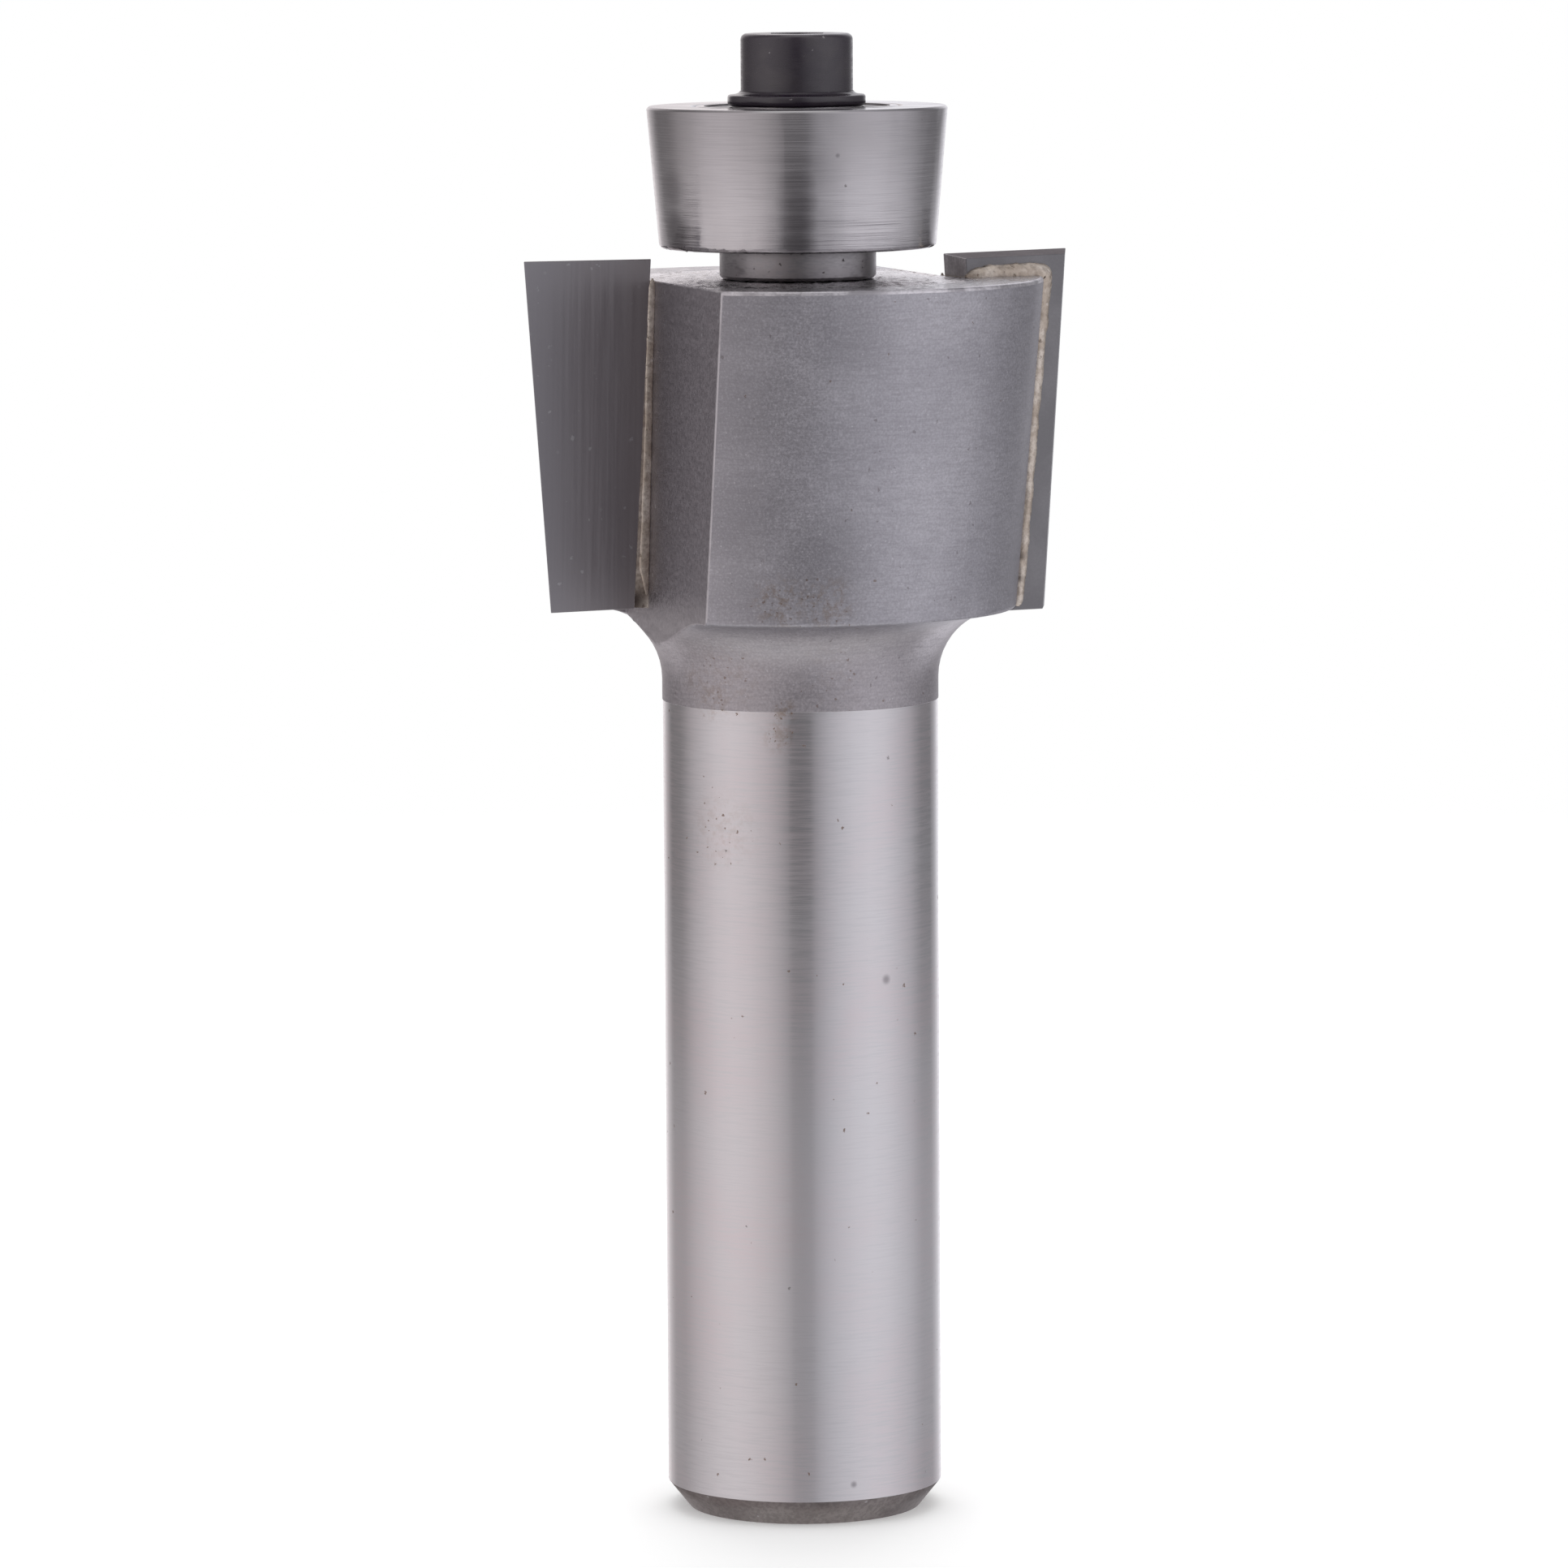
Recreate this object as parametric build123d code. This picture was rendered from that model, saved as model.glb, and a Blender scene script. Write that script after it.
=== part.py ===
"""Tapered router bit with a tapered guide on two ball bearings. Millimetres, +Z up.

The bit stands on the end of its shank, and the origin is the centre of that end. The cutting faces
are parallel to the X axis. Tip 1 lies on -X and faces -Y, and tip 2 lies on +X and faces +Y.
"""

from build123d import *
import os
from math import cos, pi, radians, sin, sqrt, tan

os.makedirs("parts", exist_ok=True)

# Shank, ground to size, with an unground chamfer at its foot
shank_diameter = 12.7
shank_length = 37.7
foot_chamfer_height = 1.2
foot_chamfer_width = 0.96

# Neck, as turned, a little over the ground size
neck_length = 4.2
neck_oversize = 0.03
neck_fillet = 3.2
neck_land = 0.39

# Head, turned as a cone that narrows towards the shank with the taper of the cutting edges
head_height = 15.2
head_edge_break = 0.1

# Cutting geometry: the edges lie on a cone of the same taper as the guide
edge_taper = 5.0
cutting_radius = 13.27
hook_angle = 6.6
shear_angle = 2.5
flank_clearance = 30.0
end_relief = 6.0
end_dish = 0.6

# Carbide tips, proud of the head; as brazed, one sits lower than the other
tip_thickness = 2.2
tip_proud = 1.06
tip_root_offset = 6.75
tip_root_lean = 2.3
tip_length = 16.15
tip_2_extra_length = 0.4

# Gullets, one ahead of each tip
gullet_offset = 6.54
gullet_angle = 81.7
gullet_lean = 0.5

# Braze, a thin layer in the seat and a bead round the tip's back, full along the top and lean at its ends
braze_gap = 0.08
bead_radius = 0.52
bead_start_radius = 0.2
bead_shoulder_radius = 0.28
bead_foot_radius = 0.2
bead_start_margin = 0.12
bead_start_length = 1.3
bead_shoulder_length = 3.4

# Pilot stem with its tapped hole
stem_length = 7.6
stem_chamfer = 0.3
stem_slip = 0.006
tapped_hole_depth = 11.0
drill_point_angle = 118.0
thread_slack = 0.02

# Spacer ring that keeps the bearings off the head
spacer_diameter = 7.2
spacer_height = 1.55
spacer_chamfer = 0.15

# Ball bearings, 3/16 x 3/8 x 1/8 inch, two in a stack
bearing_bore = 4.7625
bearing_diameter = 9.525
bearing_width = 3.175
bearing_chamfer = 0.15
ball_count = 8
ball_radius = 0.77
raceway_clearance = 0.03
inner_shoulder_radius = 2.98
outer_shoulder_radius = 4.10
shield_seat_radius = 4.28
shield_recess = 0.08
shield_thickness = 0.18
shield_gap = 0.12
shield_slack = 0.01
cage_inner_radius = 3.2
cage_outer_radius = 3.95
cage_back = 0.29
cage_finger_reach = 0.45
cage_pocket_slack = 0.04

# Guide sleeve, a ground cone bored for the two bearings, that hangs a little below the lower one
guide_top_radius = 6.92
guide_overhang = 0.13
guide_top_break = 0.12
guide_bottom_round = 0.25
guide_bore_chamfer = 0.12

# Washer and socket head cap screw, no. 5 thread
washer_diameter = 6.35
washer_thickness = 0.5
washer_edge_break = 0.12
washer_hole_slack = 0.1
thread_diameter = 3.175
screw_length = 9.5
screw_end_chamfer = 0.4
screw_head_diameter = 5.15
screw_head_height = 2.8
screw_head_round = 0.28
socket_across_flats = 2.38
socket_depth = 1.6

# Heights and radii that follow from the sizes above
head_bottom = shank_length + neck_length
head_top = head_bottom + head_height
stem_top = head_top + stem_length
bearing_base = head_top + spacer_height
guide_top = bearing_base + 2 * bearing_width
guide_bottom = bearing_base - guide_overhang
washer_top = guide_top + washer_thickness
tip_top = head_top + tip_proud
shank_radius = shank_diameter / 2
neck_radius = shank_radius + neck_oversize
head_bottom_radius = neck_radius + neck_fillet + neck_land
head_top_radius = head_bottom_radius + head_height * tan(radians(edge_taper))
stem_radius = bearing_bore / 2 - stem_slip
pitch_radius = (bearing_bore + bearing_diameter) / 4
raceway_radius = ball_radius + raceway_clearance
tapped_radius = thread_diameter / 2 + thread_slack
face_offset = cutting_radius * sin(radians(hook_angle))
flute_depth = tip_proud + head_height + neck_fillet

# Reach of the cutting tools past the stock
overrun = 4.0
reach = 2 * cutting_radius


def ring(inner, outer, bottom, top):
    """Plain ring about Z between two radii and two heights."""
    section = Pos((inner + outer) / 2, (bottom + top) / 2) * Rectangle(outer - inner, top - bottom)
    return revolve(Plane.XZ * section, Axis.Z)


def rod(start, end, start_radius, end_radius):
    """Round rod between two points, with a radius at each end."""
    along = end - start
    first = Plane(origin=start, z_dir=along) * Circle(start_radius)
    last = Plane(origin=end, z_dir=along) * Circle(end_radius)
    return loft([first, last], ruled=True)


def circle_edges(part, radius, height):
    """Circular edges of a turned part at one radius and height."""
    found = part.edges().filter_by(GeomType.CIRCLE)
    return [e for e in found if abs(e.radius - radius) < 1e-4 and abs(e.arc_center.Z - height) < 1e-4]


def half_turn(part):
    """The same part on the other flute."""
    return Rot(0, 0, 180) * part


# Cutter body

def face_plane():
    """Cutting face of tip 2: local x runs outwards, y up the sheared face, z back into the tip."""
    back = (0, -cos(radians(shear_angle)), sin(radians(shear_angle)))
    return Plane(origin=(0, -face_offset, tip_top), x_dir=(1, 0, 0), z_dir=back)


def down_the_face(depth):
    """Local y of the point that lies this far below the tip's top."""
    return -depth / cos(radians(shear_angle))


def face_setback(depth):
    """Distance of the cutting face from the axis, which grows as the sheared face runs down."""
    return face_offset + depth * tan(radians(shear_angle))


def turned_body():
    """Shank, neck, head and stem in one revolve, with the neck's fillet and the tapped hole."""
    profile = Plane.XZ * Polygon(
        (0, 0),
        (shank_radius - foot_chamfer_width, 0),
        (shank_radius, foot_chamfer_height),
        (shank_radius, shank_length),
        (neck_radius, shank_length + neck_oversize),
        (neck_radius, head_bottom),
        (head_bottom_radius, head_bottom),
        (head_top_radius, head_top),
        (stem_radius, head_top),
        (stem_radius, stem_top - stem_chamfer),
        (stem_radius - stem_chamfer, stem_top),
        (0, stem_top),
        align=None,
    )
    neck_corner = profile.vertices().sort_by_distance((neck_radius, 0, head_bottom))[0]
    profile = fillet(neck_corner, neck_fillet)
    for corner in ((head_top_radius, 0, head_top), (head_bottom_radius, 0, head_bottom)):
        profile = chamfer(profile.vertices().sort_by_distance(corner)[0], head_edge_break)
    return revolve(profile, Axis.Z)


def tapped_hole():
    """Hole of the thread's full size, with the point that a drill leaves."""
    point = tapped_radius / tan(radians(drill_point_angle / 2))
    profile = Plane.XZ * Polygon(
        (0, stem_top - tapped_hole_depth - point),
        (tapped_radius, stem_top - tapped_hole_depth),
        (tapped_radius, stem_top + overrun),
        (0, stem_top + overrun),
        align=None,
    )
    return revolve(profile, Axis.Z)


def corner_at(depth):
    """Corner of the gullet and the seat of tip 2, at a depth below the tip's top."""
    x = gullet_offset + depth * tan(radians(gullet_lean))
    return Vector(x, -face_setback(depth), tip_top - depth)


def gullet():
    """Wedge ahead of tip 2, cut straight along the corner, past the head and into the neck's fillet."""
    top, bottom = corner_at(-overrun), corner_at(flute_depth)
    open_side = radians(90 - gullet_angle)
    far_wall = Vector(sin(open_side), cos(open_side), 0) * reach
    near_wall = Vector(reach, 0, 0)
    mouth = Polyline(top, top + near_wall, top + far_wall, top, close=False)
    return extrude(make_face(mouth), amount=(bottom - top).length, dir=bottom - top)


def seat(depth):
    """Pocket for tip 2, down to a depth below the tip's top."""
    upper, lower = corner_at(-overrun), corner_at(depth)
    outline = Polygon(
        (upper.X, down_the_face(-overrun)),
        (reach, down_the_face(-overrun)),
        (reach, down_the_face(depth)),
        (lower.X, down_the_face(depth)),
        align=None,
    )
    return extrude(face_plane() * outline, amount=tip_thickness + braze_gap, dir=face_plane().z_dir)


def cutter_body():
    """Turned blank with the tapped hole, both gullets and both seats cut, all open at the neck's fillet."""
    cuts = [gullet(), seat(flute_depth)]
    cuts += [half_turn(cut) for cut in cuts]
    body = turned_body() - tapped_hole()
    for cut in cuts:
        body = body - cut
    return body


# Carbide tips and braze

def edge_offset(depth):
    """Local x of the cutting edge, where the cutting face meets the cone of the edges."""
    radius = cutting_radius - depth * tan(radians(edge_taper))
    return sqrt(radius**2 - face_setback(depth) ** 2)


def tip_outline(length, side_step, end_step):
    """Outline of a tip, with its outer edge and its end set in by the clearances."""
    dish = (edge_offset(0) - tip_root_offset) * tan(radians(end_dish))
    root = tip_root_offset + length * tan(radians(tip_root_lean))
    return Polygon(
        (tip_root_offset, down_the_face(dish + end_step)),
        (edge_offset(0) - side_step, down_the_face(end_step)),
        (edge_offset(length) - side_step, down_the_face(length)),
        (root, down_the_face(length)),
        align=None,
    )


def carbide_tip(length):
    """Tip 2: a flat blank, ground back from its cutting edge and its end."""
    side_step = tip_thickness * tan(radians(flank_clearance))
    end_step = tip_thickness * tan(radians(end_relief))
    front = face_plane() * tip_outline(length, 0, 0)
    back = face_plane().offset(tip_thickness) * tip_outline(length, side_step, end_step)
    return loft([front, back], ruled=True)


def land_point(plane, height, radius):
    """Point of a plane parallel to the cutting face, at one height and radius."""
    y = plane.from_local_coords(Vector(0, down_the_face(tip_top - height), 0)).Y
    return Vector(sqrt(radius**2 - y**2), y, height)


def bead():
    """Bead behind tip 2: along the top of the head, round its corner and down its outer edge."""
    seat_back = face_plane().offset(tip_thickness)
    corner = land_point(seat_back, head_top, head_top_radius)
    foot = land_point(seat_back, head_bottom, head_bottom_radius)
    start = Vector(tip_root_offset + bead_start_margin, corner.Y, head_top)
    full = start + Vector(bead_start_length, 0, 0)
    shoulder = corner + (foot - corner).normalized() * bead_shoulder_length
    lead_in = rod(start, full, bead_start_radius, bead_radius)
    along_top = rod(full, corner, bead_radius, bead_radius)
    rounded_corner = Pos(corner) * Sphere(bead_radius)
    over_shoulder = rod(corner, shoulder, bead_radius, bead_shoulder_radius)
    down_side = rod(shoulder, foot, bead_shoulder_radius, bead_foot_radius)
    return lead_in + along_top + rounded_corner + over_shoulder + down_side


def braze(length, tip, body):
    """Layer between tip 2 and its seat, as long as the tip, and the bead round the tip's back."""
    layer = seat(length) & turned_body()
    return (layer + bead()) - tip - body


# Spacer, bearings and guide

def spacer_ring():
    """Turned ring with both outer edges chamfered."""
    ring_part = ring(bearing_bore / 2, spacer_diameter / 2, head_top, bearing_base)
    edges = circle_edges(ring_part, spacer_diameter / 2, head_top)
    edges += circle_edges(ring_part, spacer_diameter / 2, bearing_base)
    return chamfer(edges, spacer_chamfer)


def raceway(middle):
    """Groove that the balls run in."""
    return revolve(Plane.XZ * (Pos(pitch_radius, middle) * Circle(raceway_radius)), Axis.Z)


def inner_race(middle):
    """Inner race with chamfered bore and its groove."""
    bottom, top = middle - bearing_width / 2, middle + bearing_width / 2
    race = ring(bearing_bore / 2, inner_shoulder_radius, bottom, top)
    edges = circle_edges(race, bearing_bore / 2, bottom) + circle_edges(race, bearing_bore / 2, top)
    return chamfer(edges, bearing_chamfer) - raceway(middle)


def outer_race(middle):
    """Outer race with chamfered rim, its groove, and a seat for a shield at each side."""
    bottom, top = middle - bearing_width / 2, middle + bearing_width / 2
    race = ring(outer_shoulder_radius, bearing_diameter / 2, bottom, top)
    edges = circle_edges(race, bearing_diameter / 2, bottom)
    edges += circle_edges(race, bearing_diameter / 2, top)
    race = chamfer(edges, bearing_chamfer) - raceway(middle)
    seat_depth = shield_recess + shield_thickness
    race = race - ring(0, shield_seat_radius, bottom - overrun, bottom + seat_depth)
    return race - ring(0, shield_seat_radius, top - seat_depth, top + overrun)


def shield(face, inwards):
    """Pressed steel shield, a little below the face of its bearing."""
    near = face + inwards * shield_recess
    far = near + inwards * shield_thickness
    inner = inner_shoulder_radius + shield_gap
    return ring(inner, shield_seat_radius - shield_slack, min(near, far), max(near, far))


def ball_turn(i):
    """Angle of ball i about the axis."""
    return 2 * pi * i / ball_count


def balls(middle):
    """All the balls of one bearing, evenly spaced on the pitch circle, as separate solids."""
    turns = [ball_turn(i) for i in range(ball_count)]
    places = [Pos(pitch_radius * cos(a), pitch_radius * sin(a), middle) for a in turns]
    return Compound([place * Sphere(ball_radius) for place in places])


def cage(middle):
    """Snap-in cage: a ring above the balls, with fingers that reach down between them."""
    pocket = ball_radius + cage_pocket_slack
    low, high = middle - cage_finger_reach, middle + pocket + cage_back
    part = ring(cage_inner_radius, cage_outer_radius, low, high)
    for i in range(ball_count):
        outwards = Plane(origin=(0, 0, middle), z_dir=(cos(ball_turn(i)), sin(ball_turn(i)), 0))
        part = part - extrude(outwards * Circle(pocket), amount=bearing_diameter)
    return part


def guide_sleeve():
    """Ground cone, wider at its free end, with rounded lower edge and broken upper edge."""
    bottom_radius = guide_top_radius - (guide_top - guide_bottom) * tan(radians(edge_taper))
    bore = bearing_diameter / 2
    profile = Plane.XZ * Polygon(
        (bore, guide_bottom),
        (bottom_radius, guide_bottom),
        (guide_top_radius, guide_top),
        (bore, guide_top),
        align=None,
    )
    lower = profile.vertices().sort_by_distance((bottom_radius, 0, guide_bottom))[0]
    profile = fillet(lower, guide_bottom_round)
    upper = profile.vertices().sort_by_distance((guide_top_radius, 0, guide_top))[0]
    profile = chamfer(upper, guide_top_break)
    bore_corners = [v for v in profile.vertices() if abs(v.X - bore) < 1e-4]
    profile = chamfer(bore_corners, guide_bore_chamfer)
    return revolve(profile, Axis.Z)


# Washer and screw

def washer():
    """Washer with broken outer edges, on the inner race of the upper bearing."""
    hole = thread_diameter / 2 + washer_hole_slack
    part = ring(hole, washer_diameter / 2, guide_top, washer_top)
    edges = circle_edges(part, washer_diameter / 2, guide_top)
    edges += circle_edges(part, washer_diameter / 2, washer_top)
    return chamfer(edges, washer_edge_break)


def cap_screw():
    """Socket head cap screw: rounded head, hexagon socket with a drilled point, plain full-size shank."""
    head_radius, thread_radius = screw_head_diameter / 2, thread_diameter / 2
    top = washer_top + screw_head_height
    end = washer_top - screw_length
    profile = Plane.XZ * Polygon(
        (0, end),
        (thread_radius - screw_end_chamfer, end),
        (thread_radius, end + screw_end_chamfer),
        (thread_radius, washer_top),
        (head_radius, washer_top),
        (head_radius, top),
        (0, top),
        align=None,
    )
    rim = profile.vertices().sort_by_distance((head_radius, 0, top))[0]
    screw = revolve(fillet(rim, screw_head_round), Axis.Z)
    socket_floor = Plane.XY.offset(top - socket_depth)
    hexagon = RegularPolygon(socket_across_flats / 2, 6, major_radius=False)
    socket = extrude(socket_floor * hexagon, amount=socket_depth + overrun)
    flats = socket_across_flats / 2
    point = Plane.XZ * Polygon(
        (0, top - socket_depth - flats / tan(radians(drill_point_angle / 2))),
        (flats, top - socket_depth),
        (0, top - socket_depth),
        align=None,
    )
    return screw - socket - revolve(point, Axis.Z)


def bearing(name, middle):
    """Nodes of one bearing, by name."""
    half = bearing_width / 2
    return {
        f"{name}_outer_race": outer_race(middle),
        f"{name}_inner_race": inner_race(middle),
        f"{name}_balls": balls(middle),
        f"{name}_cage": cage(middle),
        f"{name}_shield_bottom": shield(middle - half, 1),
        f"{name}_shield_top": shield(middle + half, -1),
    }


def build():
    """Every node of the bit, by name."""
    tip_2_length = tip_length + tip_2_extra_length
    short_tip, long_tip = carbide_tip(tip_length), carbide_tip(tip_2_length)
    body = cutter_body()
    nodes = {
        "cutter_body": body,
        "carbide_tip_1": half_turn(short_tip),
        "carbide_tip_2": long_tip,
        "braze_1": half_turn(braze(tip_length, short_tip, half_turn(body))),
        "braze_2": braze(tip_2_length, long_tip, body),
        "spacer_ring": spacer_ring(),
        "guide_sleeve": guide_sleeve(),
        "washer": washer(),
        "cap_screw": cap_screw(),
    }
    nodes.update(bearing("lower_bearing", bearing_base + bearing_width / 2))
    nodes.update(bearing("upper_bearing", bearing_base + bearing_width * 3 / 2))
    return nodes


for node, shape in build().items():
    export_step(shape, f"parts/{node}.step")
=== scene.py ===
"""Looks of a tapered router bit with a bearing guide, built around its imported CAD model.

Metres and +Z up, in the CAD's frame. Sizes written in millimetres are turned to metres by MM.
"""

import logging
import math
from dataclasses import dataclass
from enum import Enum
from typing import Any

import bmesh
import bpy
from mathutils import Matrix, Vector, noise


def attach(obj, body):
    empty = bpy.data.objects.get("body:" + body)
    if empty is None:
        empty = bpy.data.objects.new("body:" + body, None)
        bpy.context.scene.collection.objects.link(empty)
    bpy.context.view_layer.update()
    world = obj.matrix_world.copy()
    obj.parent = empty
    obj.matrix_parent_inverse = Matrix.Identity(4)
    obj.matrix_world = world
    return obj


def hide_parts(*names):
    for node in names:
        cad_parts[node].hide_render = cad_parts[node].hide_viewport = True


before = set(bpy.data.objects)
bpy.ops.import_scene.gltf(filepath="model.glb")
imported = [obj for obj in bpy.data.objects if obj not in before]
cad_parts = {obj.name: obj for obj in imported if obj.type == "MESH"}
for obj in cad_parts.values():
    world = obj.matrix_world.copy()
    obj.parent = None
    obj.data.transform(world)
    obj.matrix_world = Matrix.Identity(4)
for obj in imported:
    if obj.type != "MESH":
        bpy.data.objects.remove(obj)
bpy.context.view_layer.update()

MM = 0.001

log = logging.getLogger("router_bit")

Colour = tuple[float, float, float]
Point = tuple[float, float, float]
Band = tuple[float, float]
Socket = bpy.types.NodeSocket

CUT_DISTANCE = 1e-7  # metres within which a vertex lies on a cut
ROUND_STEPS = 96  # sides of what is turned


class Slot(Enum):
    """Material slots of the record, for the pieces that are made here."""

    BODY = "blasted_steel"
    CARBIDE = "carbide"
    BRAZE = "braze"
    TURNED = "turned_steel"
    GROUND = "ground_steel"
    BLACK = "black_oxide"


class Zone(Enum):
    """Finishes on the cutter body, in the order of its material slots."""

    GROUND = 0
    BLASTED = 1
    MILLED = 2
    FACED = 3
    SCALE = 4
    EDGE = 5


class TipSide(Enum):
    """Finishes on a carbide tip, in the order of its material slots."""

    GROUND = 0
    SINTERED = 1
    END = 2
    ROOT = 3


# Shader graphs


class Graph:
    """Adds and links the nodes of one shader tree."""

    def __init__(self, tree: bpy.types.NodeTree) -> None:
        """Take hold of a tree.

        Args:
            tree: The material's, the world's or a group's node tree.
        """
        self.tree = tree

    def node(self, kind: str, **settings: Any) -> bpy.types.Node:
        """Add a node.

        Args:
            kind: The node's type name, without the ShaderNode in front.
            **settings: Properties to set on it.

        Returns:
            The new node.
        """
        made = self.tree.nodes.new("ShaderNode" + kind)
        for name, value in settings.items():
            setattr(made, name, value)
        return made

    def feed(self, target: Socket, value: Any) -> None:
        """Link a socket to a target, or set the target's own value.

        Args:
            target: An input socket.
            value: An output socket, or a plain value.
        """
        if isinstance(value, bpy.types.NodeSocket):
            self.tree.links.new(value, target)
        elif isinstance(value, tuple) and len(value) == 3 and target.type == "RGBA":
            target.default_value = (*value, 1.0)
        else:
            target.default_value = value

    def math(self, operation: str, a: Any, b: Any = 0.0, clamp: bool = False) -> Socket:
        """Add a Math node.

        Args:
            operation: The operation's name.
            a: First input.
            b: Second input.
            clamp: Whether the result is kept between 0 and 1.

        Returns:
            The result's socket.
        """
        made = self.node("Math", operation=operation, use_clamp=clamp)
        self.feed(made.inputs[0], a)
        self.feed(made.inputs[1], b)
        return made.outputs[0]

    def product(self, first: Any, second: Any) -> Socket:
        """Multiply two numbers."""
        return self.math("MULTIPLY", first, second)

    def length(self, x: Any, y: Any) -> Socket:
        """Give the distance from the axis, by its two parts."""
        return self.math("SQRT", self.math("ADD", self.product(x, x), self.product(y, y)))

    def vector(self, operation: str, *values: Any) -> Any:
        """Add a Vector Math node.

        Args:
            operation: The operation's name.
            *values: Its inputs, in order.

        Returns:
            The node's outputs.
        """
        made = self.node("VectorMath", operation=operation)
        for target, value in zip(made.inputs, values):
            self.feed(target, value)
        return made.outputs

    def scaled(self, vector: Any, factors: Any) -> Socket:
        """Multiply a vector by three factors."""
        return self.vector("MULTIPLY", vector, factors)[0]

    def noise(self, vector: Any, scale: Any, detail: float = 2.0, roughness: float = 0.5,
              distortion: float = 0.0) -> Socket:
        """Add a Noise Texture.

        Args:
            vector: Where it is read.
            scale: Features per unit.
            detail: Octaves added.
            roughness: Share of the finer octaves.
            distortion: How far the pattern is warped.

        Returns:
            The socket of its value, around 0.5.
        """
        made = self.node("TexNoise")
        self.feed(made.inputs["Vector"], vector)
        self.feed(made.inputs["Scale"], scale)
        made.inputs["Detail"].default_value = detail
        made.inputs["Roughness"].default_value = roughness
        made.inputs["Distortion"].default_value = distortion
        return made.outputs["Fac"]

    def span(self, value: Any, low: float, high: float, to_low: float = 0.0,
             to_high: float = 1.0) -> Socket:
        """Map a range of a value smoothly to another, clamped at its ends.

        Args:
            value: The value's socket.
            low: Value that gives to_low.
            high: Value that gives to_high.
            to_low: Result at the low end.
            to_high: Result at the high end.

        Returns:
            The result's socket.
        """
        made = self.node("MapRange", interpolation_type="SMOOTHSTEP")
        self.feed(made.inputs["Value"], value)
        made.inputs["From Min"].default_value = low
        made.inputs["From Max"].default_value = high
        made.inputs["To Min"].default_value = to_low
        made.inputs["To Max"].default_value = to_high
        return made.outputs["Result"]

    def mix(self, factor: Any, a: Any, b: Any) -> Socket:
        """Mix two colours.

        Args:
            factor: Share of the second colour.
            a: First colour.
            b: Second colour.

        Returns:
            The mixed colour's socket.
        """
        made = self.node("Mix", data_type="RGBA")
        self.feed(made.inputs["Factor"], factor)
        self.feed(made.inputs[6], a)
        self.feed(made.inputs[7], b)
        return made.outputs[2]

    def split(self, vector: Any) -> tuple[Socket, Socket, Socket]:
        """Separate a vector.

        Args:
            vector: The vector's socket.

        Returns:
            The sockets of its three parts.
        """
        made = self.node("SeparateXYZ")
        self.feed(made.inputs[0], vector)
        return made.outputs[0], made.outputs[1], made.outputs[2]

    def joined(self, x: Any, y: Any, z: Any) -> Socket:
        """Make a vector of three parts.

        Args:
            x: First part.
            y: Second part.
            z: Third part.

        Returns:
            The vector's socket.
        """
        made = self.node("CombineXYZ")
        for target, value in zip(made.inputs, (x, y, z)):
            self.feed(target, value)
        return made.outputs[0]

    def use(self, group: bpy.types.NodeTree, **inputs: Any) -> bpy.types.Node:
        """Place a node group.

        Args:
            group: The group.
            **inputs: Values or sockets for its inputs, by name.

        Returns:
            The group's node.
        """
        made = self.node("Group")
        made.node_tree = group
        for name, value in inputs.items():
            self.feed(made.inputs[name], value)
        return made


def emptied(owner: bpy.types.Material | bpy.types.World) -> Graph:
    """Give a material or a world an empty shader tree.

    Args:
        owner: The material or the world.

    Returns:
        Its graph.
    """
    owner.use_nodes = True
    owner.node_tree.nodes.clear()
    return Graph(owner.node_tree)


# Effects that several finishes share


class GroupBuilder:
    """Builds one node group with named inputs and outputs."""

    def __init__(self, name: str, inputs: dict[str, Any], outputs: list[str]) -> None:
        """Make the group and its sockets.

        Args:
            name: The group's name.
            inputs: Each input's default by name: a number, or None for a vector.
            outputs: Names of the outputs, all of them numbers.
        """
        self.tree = bpy.data.node_groups.new(name, "ShaderNodeTree")
        for socket_name, default in inputs.items():
            kind = "NodeSocketVector" if default is None else "NodeSocketFloat"
            made = self.tree.interface.new_socket(name=socket_name, in_out="INPUT", socket_type=kind)
            if default is not None:
                made.default_value = default
        for socket_name in outputs:
            self.tree.interface.new_socket(name=socket_name, in_out="OUTPUT", socket_type="NodeSocketFloat")
        self.graph = Graph(self.tree)
        self.inputs = self.tree.nodes.new("NodeGroupInput").outputs
        self.outputs = self.tree.nodes.new("NodeGroupOutput").inputs

    def put(self, name: str, value: Socket) -> None:
        """Feed an output of the group."""
        self.graph.feed(self.outputs[name], value)


@dataclass(frozen=True)
class Patch:
    """A round place on the surface, where rust or marks gather, or where shade, a reflection or a highlight
    is painted.
    """

    centre: Point
    radius: float
    strength: float = 1.0


@dataclass(frozen=True)
class Effects:
    """The node groups that the finishes share. All of them read millimetres."""

    tool_lines: bpy.types.NodeTree
    grain: bpy.types.NodeTree
    specks: bpy.types.NodeTree
    blotches: bpy.types.NodeTree
    rust: bpy.types.NodeTree


SLOW_BAND = (0.35, 0.68)  # values of the slow blotches between which a second tone comes in
WARM_BAND = (0.35, 0.7)
# Tone of dull marks, and of the painted dark reflection down the front of the guide
DULL_AND_DARK_REFLECTION_TONE = (0.16, 0.15, 0.16)
PATCH_CORE = 0.15  # share of a patch's radius that has its full strength
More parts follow.
